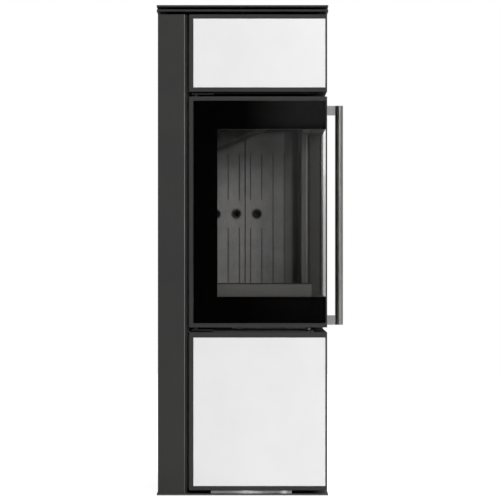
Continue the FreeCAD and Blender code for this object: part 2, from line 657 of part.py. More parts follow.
def make_lining():
    """Four lining slabs, the hearth slab with its stepped recess, the grate and the ash pan under it."""
    left_end = LINING_JOINT - LINING_GAP / 2
    right_start = LINING_JOINT + LINING_GAP / 2
    save("back_lining_left", lining_panel(-WALL_IN, left_end, Z_BACK_LINING))
    save("back_lining_right", lining_panel(right_start, LINING_END, Z_BACK_LINING))
    save("left_lining_rear", other_side(lining_panel(-LINING_FACE, left_end, Z_LEFT_LINING)))
    save("left_lining_front", other_side(lining_panel(right_start, LINING_END, Z_LEFT_LINING)))
    wide = GRATE_W / 2 + GRATE_PLAY
    narrow = wide - GRATE_LEDGE
    z_ledge = Z_HEARTH - GRATE_T
    hearth = block(-WALL_IN, SEAT_BACK, -SEAT_BACK, WALL_IN, Z_FIRE, Z_HEARTH)
    hearth = hearth.cut(block(-wide, wide, -wide, wide, z_ledge, Z_HEARTH + 1))
    save("hearth_lining", hearth.cut(block(-narrow, narrow, -narrow, narrow, Z_FIRE - 1, z_ledge + 1)))
    side = GRATE_W / 2
    grate = block(-side, side, -side, side, z_ledge, Z_HEARTH)
    span = side - GRATE_RIM
    pitch = 2 * span / (GRATE_SLOTS - 1)
    slots = []
    for step in range(GRATE_SLOTS):
        x = -span + step * pitch
        slots.append(block(x - GRATE_SLOT_W / 2, x + GRATE_SLOT_W / 2, -span, span, z_ledge - 1, Z_HEARTH + 1))
    save("grate", grate.cut(slots))
    reach = narrow - PAN_PLAY
    pan_top = z_ledge - PAN_GAP
    pan = block(-reach, reach, -reach, reach, Z_FIRE, pan_top)
    inside = reach - PAN_WALL
    save("ash_pan", pan.cut(block(-inside, inside, -inside, inside, Z_FIRE + PAN_WALL, pan_top + 1)))


def make_baffles():
    """A sloped lower baffle over the left lining, a level upper one, and the rests that carry them."""
    y0 = BAFFLE_FRONT - SEAT_BACK
    slope = math.radians(BAFFLE_ANGLE)
    left = REST_PLAY - WALL_IN + BAFFLE_T * math.sin(slope)
    lower = block(0, BAFFLE_RUN, y0, LINING_FACE - REST_PLAY, 0, BAFFLE_T)
    lower.rotate(V(0, 0, 0), V(0, 1, 0), -BAFFLE_ANGLE)
    lower.translate(V(left, 0, Z_LEFT_LINING))
    save("lower_baffle", lower)
    pin_x = BAFFLE_RUN * PIN_SHARE
    pin_z = Z_LEFT_LINING + pin_x * math.tan(slope) - (REST_PIN_R + REST_PLAY) / math.cos(slope)
    pin = rod_along_y(left + pin_x, pin_z, LINING_FACE - REST_W, LINING_FACE, REST_PIN_R)
    right = SEAT_BACK - REST_PLAY
    upper = block(right - UPPER_BAFFLE_W, right, REST_PLAY - SEAT_BACK, WALL_IN - REST_PLAY,
                  Z_UPPER_BAFFLE, Z_UPPER_BAFFLE + UPPER_BAFFLE_T)
    save("upper_baffle", upper)
    rear_rest = block(right - UPPER_BAFFLE_W, right, WALL_IN - REST_W, WALL_IN, Z_UPPER_BAFFLE - REST_T,
                      Z_UPPER_BAFFLE)
    front_rest = block(right - UPPER_BAFFLE_W, right, -SEAT_BACK, REST_W - SEAT_BACK, Z_UPPER_BAFFLE - REST_T,
                       Z_UPPER_BAFFLE)
    save("baffle_rests", pin, rear_rest, front_rest)


def make_flue():
    """The flue collar on the firebox roof, below the level of the top plate."""
    z0 = Z_ROOF + WALL_T
    z1 = Z_LID - FLUE_TOP_DROP
    collar = rod(0, 0, z0, z1, FLUE_R + FLUE_WALL)
    save("flue_collar", collar.cut(rod(0, 0, z0 - 1, z1 + 1, FLUE_R)))


def make_air():
    """Air duct up from the base, the box under the firebox, and the slide with its lever."""
    bore = rod(0, 0, -1, Z_FLOOR, DUCT_R - DUCT_WALL)
    collar = rod(0, 0, Z_BASE, Z_BASE + COLLAR_T, DUCT_R + COLLAR_W)
    save("air_duct", join(rod(0, 0, 0, Z_DECK, DUCT_R), collar).cut(bore))
    half = WALL_OUT - AIR_BOX_SETBACK
    walls = block(-half, half, -half, half, Z_DECK, Z_FLOOR)
    inner = half - SHEET
    walls = walls.cut(block(-inner, inner, -inner, inner, Z_DECK - 1, Z_FLOOR + 1))
    z_slide = Z_DECK + SLIDE_LIFT
    z_slot = z_slide + SLIDE_H / 2
    slide_right = SEAT_BACK - SLIDE_TRAVEL - SLIDE_PLAY
    y_back = -half - SLIDE_PLAY
    y_front = y_back - SLIDE_T
    slots = []
    for step in range(AIR_SLOTS):
        x = half - SHEET - AIR_SLOT_W / 2 - SLIDE_TRAVEL - step * AIR_SLOT_W * 2
        slots.append(block(x - AIR_SLOT_W / 2, x + AIR_SLOT_W / 2, y_front - 1, 1 - inner, z_slot - AIR_SLOT_H / 2,
                           z_slot + AIR_SLOT_H / 2))
    save("air_box", walls.cut(slots))
    slide = block(slide_right - SLIDE_W, slide_right, y_front, y_back, z_slide, z_slide + SLIDE_H)
    save("air_slide", slide.cut(slots))
    rail_front = y_front - SLIDE_PLAY
    foot_rail = block(-half, half, rail_front, -half, Z_DECK, z_slide - SLIDE_PLAY)
    z_rail = z_slide + SLIDE_H + SLIDE_PLAY
    head_rail = block(-half, half, rail_front - SHEET, -half, z_rail, z_rail + RAIL_W)
    head_lip = block(-half, half, rail_front - SHEET, rail_front, z_rail - RAIL_W, z_rail)
    save("air_slide_rails", foot_rail, join(head_rail, head_lip))
    tip = LEVER_SETBACK - HALF
    lever_right = LEVER_X + LEVER_W / 2
    foot = block(slide_right - LEVER_LAP, lever_right, y_front - LEVER_W, y_front, z_slide, z_slide + LEVER_T)
    arm = block(LEVER_X - LEVER_W / 2, lever_right, tip + LEVER_KNOB_L, y_front, z_slide, z_slide + LEVER_T)
    save("air_lever", join(foot, arm))
    knob = rod_along_y(LEVER_X, z_slide + LEVER_T / 2, tip, tip + LEVER_KNOB_L, LEVER_KNOB_R)
    save("air_knob", rounded(knob, SMALL_R, lambda middle, along: near(middle.y, tip)))


def make_crown():
    """The rim panel on the upper module, the two top plates and the spacers between them."""
    free = HALF - FRAME_FLANGE
    opening = -FACADE_END - CROWN_CLEAR
    z0 = Z_UPPER_TOP - SHEET
    panel = block(-CASING_IN, free, -free, CASING_IN, z0, Z_UPPER_TOP)
    end = STRIP_W - HALF - SHEET
    corner = block(-CASING_IN, end, -CASING_IN, -free, z0, Z_UPPER_TOP)
    panel = join(panel, *both_sides(corner))
    hole = block(-opening, free - CROWN_RIM, CROWN_RIM - free, opening, z0 - 1, Z_CROWN_TOP + 1)
    save("crown_rim_panel", panel.cut(hole))
    save("lower_top_plate", plate(HALF + PLATE_LAP, Z_CROWN, Z_CROWN_TOP).cut(hole))
    flue_hole = rod(0, 0, Z_LID - 1, Z_LID_TOP + 1, FLUE_R + FLUE_WALL + FLUE_CLEAR)
    lid = rounded(plate(HALF + PLATE_LAP, Z_LID, Z_LID_TOP), SMALL_R,
                  lambda middle, along: near(middle.z, Z_LID_TOP))
    save("top_plate", lid.cut(flue_hole))
    reach = HALF - SPACER_SETBACK
    spacers = []
    for x in (-reach, 0, reach):
        for y in (-reach, 0, reach):
            if x or y:
                spacers.append(rod(x, y, Z_UPPER_TOP, Z_CROWN, SPACER_R))
                spacers.append(rod(x, y, Z_CROWN_TOP, Z_LID, SPACER_R))
    save("top_spacers", *spacers)


def make_shields():
    """Heat shields that stand on the hearth deck between the firebox and the casing."""
    x = SHIELD_SETBACK - CASING_IN
    sheet = block(x, x + SHIELD_T, SHIELD_FREE - SEAT_BACK, WALL_OUT, Z_DECK, Z_UPPER_DECK - SHIELD_FREE)
    foot = block(x, x + SHIELD_FOOT, SHIELD_FREE - SEAT_BACK, WALL_OUT, Z_DECK, Z_DECK + SHIELD_T)
    save("heat_shields", *both_sides(join(sheet, foot)))


def main():
    """Make every piece."""
    os.makedirs("parts", exist_ok=True)
    make_base()
    make_casing()
    make_facade()
    make_decks()
    make_hinge()
    make_door()
    make_latch()
    make_seat()
    make_firebox()
    make_lining()
    make_baffles()
    make_flue()
    make_air()
    make_crown()
    make_shields()


main()
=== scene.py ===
"""Looks of a free-standing corner wood stove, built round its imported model.

Every piece is in metres in the model's own frame: +Z up, the front faces -Y, the glazed corner is at +X -Y.
"""

import json
import logging
import math
from dataclasses import dataclass, field
from enum import Enum
from typing import Any

import bmesh
import bpy
import numpy as np
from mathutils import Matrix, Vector


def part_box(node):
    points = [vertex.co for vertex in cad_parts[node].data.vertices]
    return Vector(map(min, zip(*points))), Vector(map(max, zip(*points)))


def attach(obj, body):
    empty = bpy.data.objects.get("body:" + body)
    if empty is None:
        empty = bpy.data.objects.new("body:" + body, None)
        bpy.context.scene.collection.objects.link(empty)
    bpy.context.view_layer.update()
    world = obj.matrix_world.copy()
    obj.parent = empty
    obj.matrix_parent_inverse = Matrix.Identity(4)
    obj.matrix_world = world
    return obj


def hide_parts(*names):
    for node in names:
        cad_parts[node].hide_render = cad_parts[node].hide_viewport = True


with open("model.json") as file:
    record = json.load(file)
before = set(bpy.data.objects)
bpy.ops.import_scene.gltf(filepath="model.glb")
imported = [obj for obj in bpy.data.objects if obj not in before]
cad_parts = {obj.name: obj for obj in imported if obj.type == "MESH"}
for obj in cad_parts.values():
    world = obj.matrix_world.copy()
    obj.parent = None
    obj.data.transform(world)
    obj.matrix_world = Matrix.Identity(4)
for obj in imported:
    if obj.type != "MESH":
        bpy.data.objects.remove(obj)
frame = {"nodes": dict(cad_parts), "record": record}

LOG = logging.getLogger("stove")
MM = 0.001
WELD_M = 1e-6
WHITE = (1.0, 1.0, 1.0, 1.0)
NOISE_REACH = (0.3, 0.7)  # where most values of a noise lie
FULL_REACH = (0.0, 1.0)
POST_FACE_MM = 69.0  # y of the face of the seat's rear post
POST_TOP_MM = 10.0  # what the trim on that post leaves free below the linings' top
SLAB_FACES = np.array([[0, 1, 3, 2], [4, 6, 7, 5], [0, 4, 5, 1], [2, 3, 7, 6], [0, 2, 6, 4], [1, 5, 7, 3]])

Array = np.ndarray
Pair = tuple[float, float]
Place = tuple[float, float, float]
Values = tuple[tuple[str, float], ...]
Tree = bpy.types.NodeTree
Material = bpy.types.Material
Piece = bpy.types.Object


class Body(str, Enum):
    """The bodies that new pieces ride on."""

    STOVE = "stove"
    DOOR = "door"


class Slot(str, Enum):
    """The record's material slots."""

    PAINT = "stove_paint"
    TILE = "white_tile"
    GLASS = "ceramic_glass"
    LINING = "refractory"
    ROPE = "rope_seal"
    STAINLESS = "stainless"
    STEEL = "plain_steel"
    IRON = "cast_iron"
    FIREBOX = "firebox_steel"
    TRIM = "black_trim"


def to_linear(colour: str) -> tuple[float, float, float, float]:
    """Turn an sRGB hex colour into linear values.

    Args:
        colour: six hex digits after a hash mark.
    Returns:
        Linear red, green and blue with an alpha of 1.
    """
    parts = [int(colour[i:i + 2], 16) / 255 for i in (1, 3, 5)]
    linear = [c / 12.92 if c <= 0.04045 else ((c + 0.055) / 1.055) ** 2.4 for c in parts]
    return (linear[0], linear[1], linear[2], 1.0)


def per_metre(size_mm: float) -> float:
    """Scale of a pattern on coordinates in metres, from the real size of its grain in millimetres."""
    return 1.0 / (size_mm * MM)


def ramp(value: Any, reach: Pair, low: float = 0.0, high: float = 1.0) -> dict[str, Any]:
    """Inputs of a node that maps a reach of values to a range.

    Args:
        value: socket of the pattern.
        reach: the part of the pattern's values that counts.
        low: result at the start of the reach.
        high: result at its end.
    Returns:
        The inputs by name.
    """
    return {"Value": value, "From Min": reach[0], "From Max": reach[1], "To Min": low, "To Max": high}


def add_node(tree: Tree, kind: str, inputs: dict[str | int, Any] | None = None, **settings: Any) -> Any:
    """Add a node with its settings and inputs.

    Args:
        tree: node tree that takes the node.
        kind: the node's type, without the prefix that all of them share.
        inputs: input name or number to what it takes: a socket is linked, any other value is set.
        settings: the node's own properties.
    Returns:
        The node's output sockets.
    """
    node = tree.nodes.new(f"ShaderNode{kind}")
    for key, value in settings.items():
        setattr(node, key, value)
    for key, value in (inputs or {}).items():
        if isinstance(value, bpy.types.NodeSocket):
            tree.links.new(value, node.inputs[key])
        else:
            node.inputs[key].default_value = value
    return node.outputs


@dataclass(frozen=True)
class Finish:
    """A finish in two close tones: a pattern sets the tone, and it or a finer noise the gloss and relief."""

    name: str
    dark: str
    light: str
    tone_mm: float = 100.0
    tone_detail: float = 2.0
    fine_mm: float = 0.0  # 0 where the tone's pattern serves
    reach: Pair = NOISE_REACH
    rough: Pair = (0.5, 0.5)
    relief_mm: float = 0.0
    relief_share: float = 0.0
    relief_by_tone: bool = False
    others: Values = ()  # what else the main shader takes in

    def pattern(self, tree: Tree, place: Any) -> Any:
        """The tone's pattern: a noise whose grain has a real size.

        Args:
            tree: node tree of the material.
            place: Object coordinates in metres.
        Returns:
            The pattern's socket.
        """
        grains = {"Vector": place, "Scale": per_metre(self.tone_mm), "Detail": self.tone_detail}
        return add_node(tree, "TexNoise", grains)["Fac"]

    def colour(self, tree: Tree, place: Any, pattern: Any) -> Any:
        """The colour: the dark tone at the start of the pattern's reach, the light one at its end.

        Args:
            tree: node tree of the material.
            place: Object coordinates in metres, for a kind whose colour changes from place to place.
            pattern: socket of the tone's pattern.
        Returns:
            The colour's socket.
        """
        share = add_node(tree, "MapRange", ramp(pattern, self.reach))["Result"]
        tones = {0: share, 6: to_linear(self.dark), 7: to_linear(self.light)}
        return add_node(tree, "Mix", tones, data_type="RGBA")[2]

    def shader(self, tree: Tree, place: Any) -> Any:
        """The main shader with its colour, gloss and relief.

        Args:
            tree: node tree of the material.
            place: Object coordinates in metres.
        Returns:
            The shader's socket.
        """
        pattern = self.pattern(tree, place)
        fine = pattern
        if self.fine_mm:
            fine = add_node(tree, "TexNoise", {"Vector": place, "Scale": per_metre(self.fine_mm)})["Fac"]
        inputs = dict(self.others)
        inputs["Base Color"] = self.colour(tree, place, pattern)
        inputs["Roughness"] = self.rough[0]
        if self.rough[0] != self.rough[1]:
            inputs["Roughness"] = add_node(tree, "MapRange", ramp(fine, self.reach, *self.rough))["Result"]
        if self.relief_mm:
            height = pattern if self.relief_by_tone else fine
            relief = {"Height": height, "Strength": self.relief_share, "Distance": self.relief_mm * MM}
            inputs["Normal"] = add_node(tree, "Bump", relief)["Normal"]
        return add_node(tree, "BsdfPrincipled", inputs)["BSDF"]

    def build(self) -> Material:
        """Make the material.

        Returns:
            The new material.
        """
        material = bpy.data.materials.new(self.name)
        material.use_nodes = True
        tree = material.node_tree
        tree.nodes.clear()
        place = add_node(tree, "TexCoord")["Object"]
        add_node(tree, "OutputMaterial", {"Surface": self.shader(tree, place)})
        return material


@dataclass(frozen=True)
class SprayedPaint(Finish):
    """Matt heat-resistant silicone paint, sprayed on steel: slow clouds of dark grey and a fine dry grain."""

    name: str = "sprayed_stove_paint"
    dark: str = "#313131"
    light: str = "#353534"
    tone_mm: float = 140.0
    tone_detail: float = 3.0
    fine_mm: float = 1.4  # true grain is finer; drawn this coarse so that it shows
    rough: Pair = (0.48, 0.6)
    relief_mm: float = 0.03
    relief_share: float = 0.35
    others: Values = (("Specular IOR Level", 0.2),)


@dataclass(frozen=True)
class WhiteGlaze(Finish):
    """White glazed ceramic tile: off-white under a smooth glaze that pools a little, with faint specks."""

    name: str = "white_glaze"
    dark: str = "#e8e8e8"
    light: str = "#ebebeb"
    tone_mm: float = 90.0
    fine_mm: float = 2.5
    rough: Pair = (0.16, 0.24)
    relief_mm: float = 0.05
    relief_share: float = 0.15
    relief_by_tone: bool = True
    others: Values = (("IOR", 1.52), ("Coat Weight", 0.3), ("Coat Roughness", 0.08))


@dataclass(frozen=True)
class CeramicGlass(Finish):
    """Clear ceramic stove glass: a faint warm tint that wanders as in a melt, and sharp reflections."""

    name: str = "ceramic_glass"
    dark: str = "#f7f6f6"
    light: str = "#fafaf9"
    tone_mm: float = 70.0
    tone_detail: float = 3.0
    reach: Pair = FULL_REACH
    ior: float = 1.45
    glare: float = 0.25
    slant: Pair = (0.8, 0.95)
    slant_glare: float = 0.15

    def shader(self, tree: Tree, place: Any) -> Any:
        """Full transmission. Light passes straight in, and a coat keeps glare off, more of it at a slant.

        Args:
            tree: node tree of the material.
            place: Object coordinates in metres.
        Returns:
            The shader's socket.
        """
        tint = self.colour(tree, place, self.pattern(tree, place))
        glass = {"Base Color": tint, "Roughness": 0.0, "Transmission Weight": 1.0, "IOR": self.ior}
        pane = add_node(tree, "BsdfPrincipled", glass)["BSDF"]
        clear = add_node(tree, "BsdfTransparent", {"Color": tint})["BSDF"]
        facing = add_node(tree, "LayerWeight")["Facing"]
        glare = add_node(tree, "MapRange", ramp(facing, self.slant, self.glare, self.slant_glare))["Result"]
        path = add_node(tree, "LightPath")
        rays = {0: path["Is Shadow Ray"], 1: path["Is Diffuse Ray"]}
        light = add_node(tree, "Math", rays, operation="MAXIMUM")[0]
        seen = add_node(tree, "Math", {0: glare, 1: light}, operation="SUBTRACT", use_clamp=True)[0]
        return add_node(tree, "MixShader", {0: seen, 1: clear, 2: pane})[0]


@dataclass(frozen=True)
class FiredPrint(Finish):
    """Black ceramic print fired on the back of the glass: a fine stipple, with no shine of its own there."""

    name: str = "black_fired_print"
    dark: str = "#020202"
    light: str = "#050505"
    tone_mm: float = 0.9
    rough: Pair = (0.45, 0.6)
    others: Values = (("Specular IOR Level", 0.0),)


@dataclass(frozen=True)
class CastRefractory(Finish):
    """Vermiculite and clay lining, dull grey with flakes; painted shade in its grooves, round its air holes
    and on its end strip.
    """

    name: str = "cast_refractory"
    dark: str = "#757575"
    light: str = "#838383"
    tone_mm: float = 45.0
    tone_detail: float = 4.0
    rough: Pair = (0.92, 0.92)
    relief_mm: float = 0.25
    relief_share: float = 0.4
    others: Values = (("Specular IOR Level", 0.2),)
    flake_mm: float = 2.2
    flake_share: float = 0.18
    # painted shade: the colour of the grooves where the piece shades itself
    groove_painted_shade: str = "#565555"
    groove_reach_mm: float = 8.0
    groove_shade: Pair = (0.45, 0.9)
    shade_samples: int = 8
    # painted shade: the dark disc over each air hole and the ring round it
    hole_painted_shade: str = "#2a2929"
    holes_mm: tuple[float, ...] = (-77.5, -19.0, 39.5)
    holes_height_mm: float = 769.0
    halo_mm: Pair = (11.0, 17.0)
    # painted shade on the recessed strip behind the last groove, which keeps end_share of its colour
    last_groove_mm: Pair = (117.0, 120.0)
    end_share: float = 0.62

    def pattern(self, tree: Tree, place: Any) -> Any:
        """Clouds, with a step up or down on each flake.

        Args:
            tree: node tree of the material.
            place: Object coordinates in metres.
        Returns:
            The pattern's socket.
        """
        cells = add_node(tree, "TexVoronoi", {"Vector": place, "Scale": per_metre(self.flake_mm)})["Color"]
        cell = add_node(tree, "SeparateColor", {"Color": cells})[0]
        steps = ramp(cell, FULL_REACH, -self.flake_share, self.flake_share)
        flake = add_node(tree, "MapRange", steps)["Result"]
        return add_node(tree, "Math", {0: super().pattern(tree, place), 1: flake}, operation="ADD")[0]

    def unshaded_share(self, tree: Tree, place: Any) -> Any:
        """None at the air holes and one beyond their painted shade, and end_share on the strip behind the
        last groove.

        The larger of x and -y runs along either lined wall.

        Args:
            tree: node tree of the material.
            place: Object coordinates in metres.
        Returns:
            The share's socket.
        """
        x, y, z = add_node(tree, "SeparateXYZ", {0: place})
        back = add_node(tree, "Math", {0: y, 1: -1.0}, operation="MULTIPLY")[0]
        along = add_node(tree, "Math", {0: x, 1: back}, operation="MAXIMUM")[0]
        rise = add_node(tree, "Math", {0: z, 1: self.holes_height_mm * MM}, operation="SUBTRACT")[0]
        groove = (self.last_groove_mm[0] * MM, self.last_groove_mm[1] * MM)
        halo = (self.halo_mm[0] * MM, self.halo_mm[1] * MM)
        # painted shade on the strip behind the last groove
        unshaded = add_node(tree, "MapRange", ramp(along, groove, 1.0, self.end_share))["Result"]
        # painted shade over each air hole, fading out across the ring
        for hole in self.holes_mm:
            aside = add_node(tree, "Math", {0: along, 1: hole * MM}, operation="SUBTRACT")[0]
            way = add_node(tree, "CombineXYZ", {"X": aside, "Y": rise})[0]
            distance = add_node(tree, "VectorMath", {0: way}, operation="LENGTH")["Value"]
            share = add_node(tree, "MapRange", ramp(distance, halo))["Result"]
            unshaded = add_node(tree, "Math", {0: unshaded, 1: share}, operation="MINIMUM")[0]
        return unshaded

    def colour(self, tree: Tree, place: Any, pattern: Any) -> Any:
        """The flaked grey, with painted shade where the piece shades itself, round the air holes and on the
        strip behind the last groove.

        Args:
            tree: node tree of the material.
            place: Object coordinates in metres.
            pattern: socket of the tone's pattern.
        Returns:
            The colour's socket.
        """
        # painted shade in the grooves, from the piece's own ambient occlusion
        near = {"Distance": self.groove_reach_mm * MM}
        shade = add_node(tree, "AmbientOcclusion", near, only_local=True, samples=self.shade_samples)["AO"]
        share = add_node(tree, "MapRange", ramp(shade, self.groove_shade))["Result"]
        grooves = {0: share, 6: to_linear(self.groove_painted_shade), 7: super().colour(tree, place, pattern)}
        grooved = add_node(tree, "Mix", grooves, data_type="RGBA")[2]
        holes = {0: self.unshaded_share(tree, place), 6: to_linear(self.hole_painted_shade), 7: grooved}
        return add_node(tree, "Mix", holes, data_type="RGBA")[2]


@dataclass(frozen=True)
class BraidedFibre(Finish):
    """Graphited glass-fibre rope: near-black soft yarns with a dry sheen, with painted shade between the
    yarns.
    """

    name: str = "braided_fibre"
    # painted shade: the dark tone lies between the yarns, the light one on their crowns
    dark: str = "#161616"
    light: str = "#3a3a39"
    fine_mm: float = 0.8
    reach: Pair = FULL_REACH
    rough: Pair = (0.95, 0.95)
    relief_mm: float = 0.2
    relief_share: float = 0.5
    others: Values = (("Sheen Weight", 0.3), ("Sheen Roughness", 0.5))

    def pattern(self, tree: Tree, place: Any) -> Any:
        """The braid's height, which the rope keeps as an attribute."""
        return add_node(tree, "Attribute", attribute_name="braid")["Fac"]


@dataclass(frozen=True)
class BrushedSteel(Finish):
    """Stainless steel brushed along its length: fine upright lines that spread the shine sideways."""

    name: str = "brushed_stainless"
    dark: str = "#8a8a88"
    light: str = "#a0a09e"
    tone_mm: float = 0.5
    tone_detail: float = 3.0
    rough: Pair = (0.24, 0.36)
    relief_mm: float = 0.02
    relief_share: float = 0.2
    others: Values = (("Metallic", 1.0),)
    line_length_mm: float = 60.0

    def pattern(self, tree: Tree, place: Any) -> Any:
        """The noise, stretched along the height from its own grain to the length of a line."""
        stretch = {"Vector": place, "Scale": (1.0, 1.0, self.tone_mm / self.line_length_mm)}
        return super().pattern(tree, add_node(tree, "Mapping", stretch)["Vector"])


@dataclass(frozen=True)
class ZincPlate(Finish):
    """Zinc-plated mild steel: cool grey with a faint crystal mottle."""

    name: str = "zinc_plated_steel"
    dark: str = "#84868a"
    light: str = "#a2a4a8"
    tone_mm: float = 5.0
    reach: Pair = FULL_REACH
    rough: Pair = (0.34, 0.5)
    others: Values = (("Metallic", 1.0),)

    def pattern(self, tree: Tree, place: Any) -> Any:
        """Cells of crystal, each with its own value."""
        cells = add_node(tree, "TexVoronoi", {"Vector": place, "Scale": per_metre(self.tone_mm)})["Color"]
        return add_node(tree, "SeparateColor", {"Color": cells})[0]


@dataclass(frozen=True)
class SandCastIron(Finish):
    """Grey iron cast in sand: dark, with an even pebbled skin."""

    name: str = "sand_cast_iron"
    dark: str = "#4d4d4c"
    light: str = "#585856"
    tone_mm: float = 1.6
    tone_detail: float = 4.0
    rough: Pair = (0.7, 0.7)
    relief_mm: float = 0.15
    relief_share: float = 0.5
    others: Values = (("Specular IOR Level", 0.35),)


@dataclass(frozen=True)
class MattSilicone(Finish):
    """Black heat-proof silicone in the glass joint: matt and slightly uneven."""

    name: str = "black_silicone"
    dark: str = "#080808"
    light: str = "#101010"
    tone_mm: float = 6.0
    rough: Pair = (0.55, 0.55)
    relief_mm: float = 0.1
    relief_share: float = 0.3


@dataclass(frozen=True)
class PaleFloor(Finish):
    """Pale studio floor: near white to the eye, in metal and through glass, and it still keeps a shadow."""

    name: str = "pale_studio_floor"
    dark: str = "#ededed"
    light: str = "#f4f4f4"
    tone_mm: float = 400.0
    reach: Pair = FULL_REACH
    glow: float = 0.8
    shine: float = 0.1

    def shader(self, tree: Tree, place: Any) -> Any:
        """Matt paint with a glow for rays from the eye and through glass, and a faint one for those in metal.

        Args:
            tree: node tree of the material.
            place: Object coordinates in metres.
        Returns:
            The shader's socket.
        """
        tone = self.colour(tree, place, self.pattern(tree, place))
        paint = add_node(tree, "BsdfDiffuse", {"Color": tone})["BSDF"]
        path = add_node(tree, "LightPath")
        rays = {0: path["Is Camera Ray"], 1: path["Is Transmission Ray"]}
        looked = add_node(tree, "Math", rays, operation="MAXIMUM")[0]
        seen = add_node(tree, "Math", {0: looked, 1: self.glow}, operation="MULTIPLY")[0]
        shine = add_node(tree, "Math", {0: path["Is Glossy Ray"], 1: self.shine}, operation="MULTIPLY")[0]
        strength = add_node(tree, "Math", {0: seen, 1: shine}, operation="MAXIMUM")[0]
        glow = add_node(tree, "Emission", {"Strength": strength})["Emission"]
        return add_node(tree, "AddShader", {0: paint, 1: glow})[0]


class Own(Enum):
    """Finishes that single nodes and pieces have in place of their slot's."""

    PRINT = FiredPrint()
    TAPE = FiredPrint("black_woven_tape", "#020202", "#060606", tone_mm=1.5)
    # painted highlight: a lighter stove paint on the casing folds
    FOLD_HIGHLIGHT = SprayedPaint("painted_fold_highlight", "#626261", "#6a6a69", rough=(0.35, 0.45))
    # painted highlight: a pale paint on the seat's lip and the rear wall's bead
    BEAD_HIGHLIGHT = SprayedPaint("painted_bead_highlight", "#7e7e7d", "#868685", rough=(0.35, 0.45))
    # black paint; on the log guard's bead and the seat's strip it is painted shade
    BLACK_AND_SHADE = SprayedPaint("black_paint_and_painted_shade", "#151515", "#1a1a1a")
    # painted light: a pale grey on the deck and rails in the gap under the door
    LOWER_GAP_LIGHT = SprayedPaint("lower_gap_painted_light", "#747473", "#7c7c7b", rough=(0.5, 0.6))
    # painted light: a pale copy of the firebox paint on the rear wall and the joint strips, in dark gaps
    UPRIGHT_GAP_LIGHT = SprayedPaint("upright_gap_painted_light", "#5f5f5e", "#676766", rough=(0.55, 0.7))
    # painted light: the base plate lighter than the casing, for light from the floor round it
    BASE_LIGHT = SprayedPaint("base_plate_painted_light", "#585857", "#5e5e5d")
    # painted shade on the baffles and the apron over them; in the linings' joint it is dark cement
    SOOT_AND_SHADE = CastRefractory("soot_and_shade_refractory", "#333232", "#3e3d3d", end_share=1.0)
    # painted light: a lighter copy of the brushed stainless on the flat arms
    ARM_LIGHT = BrushedSteel("brushed_arm_steel_light", "#adadaa", "#c4c4c2")
    BURNISHED = ZincPlate("burnished_steel", "#2b2b2b", "#383838")
    GALVANISED = ZincPlate("dull_galvanised_steel", "#b4b5b6", "#c6c7c8", tone_mm=12.0,
                           others=(("Metallic", 0.3),))


SLOT_FINISHES: dict[Slot, Finish] = {
    Slot.PAINT: SprayedPaint(),
    Slot.TILE: WhiteGlaze(),
    Slot.GLASS: CeramicGlass(),
    Slot.LINING: CastRefractory(),
    Slot.ROPE: BraidedFibre(),
    Slot.STAINLESS: BrushedSteel(),
    Slot.STEEL: ZincPlate(),
    Slot.IRON: SandCastIron(),
    Slot.FIREBOX: SprayedPaint("firebox_paint", "#4b4b4a", "#535352", rough=(0.55, 0.7)),
    Slot.TRIM: MattSilicone(),
}

NODE_FINISHES: dict[str, Slot | Own] = {
    "glass_gasket": Own.TAPE,
    "baffle_rests": Slot.LINING,
    "firebox_rear_wall": Own.UPRIGHT_GAP_LIGHT,
    "lower_baffle": Own.SOOT_AND_SHADE,
    "upper_baffle": Own.SOOT_AND_SHADE,
    "hinge_brackets": Own.BLACK_AND_SHADE,
    "hinge_bolts": Own.BLACK_AND_SHADE,
    "top_spacers": Own.BLACK_AND_SHADE,
    "hearth_deck": Own.LOWER_GAP_LIGHT,
    "air_slide_rails": Own.LOWER_GAP_LIGHT,
    "handle_arms": Own.ARM_LIGHT,
    "hinge_bushes": Own.BURNISHED,
    "air_duct": Own.GALVANISED,
    "base_plate": Own.BASE_LIGHT,
}


def corners(name: str) -> tuple[Array, Array]:
    """The lowest and the highest corner of a node's box, in metres."""
    low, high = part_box(name)
    return np.array(low), np.array(high)


def post_span(above_mm: float) -> Pair:
    """Heights on the seat's rear post, in metres: from above the log guard to below the linings' top."""
    return corners("log_guard")[1][2] + above_mm * MM, corners("back_lining_right")[1][2] - POST_TOP_MM * MM


def make_piece(name: str, points: Array, faces: Array, weld: bool = False) -> Piece:
    """Put a worked-out surface into a mesh object.

    Args:
        name: the piece's name.
        points: vertex places, one row each, in metres.
        faces: vertex numbers of each quad, one row each.
        weld: True joins points that lie together, which closes poles, and turns every face outwards.
    Returns:
        The object, at the origin.
    """
    mesh = bpy.data.meshes.new(name)
    mesh.from_pydata(points.reshape(-1, 3).tolist(), [], faces.tolist())
    if weld:
        shell = bmesh.new()
        shell.from_mesh(mesh)
        bmesh.ops.remove_doubles(shell, verts=shell.verts, dist=WELD_M)
        bmesh.ops.recalc_face_normals(shell, faces=shell.faces)
        shell.to_mesh(mesh)
        shell.free()
    mesh.validate()
    mesh.update()
    piece = bpy.data.objects.new(name, mesh)
    bpy.context.scene.collection.objects.link(piece)
    return piece


def grid_faces(rows: int, columns: int, close_rows: bool = False, close_columns: bool = False) -> Array:
    """Quads of a grid whose vertices are numbered row by row.

    Args:
        rows: number of vertex rows.
        columns: vertices in each row.
        close_rows: True joins the last row to the first.
        close_columns: True joins the last column to the first.
    Returns:
        Vertex numbers of each quad.
    """
    i = np.arange(rows if close_rows else rows - 1)[:, None]
    j = np.arange(columns if close_columns else columns - 1)[None, :]
    i2 = (i + 1) % rows
    j2 = (j + 1) % columns
    quads = np.stack([i * columns + j, i * columns + j2, i2 * columns + j2, i2 * columns + j], axis=-1)
    return quads.reshape(-1, 4)


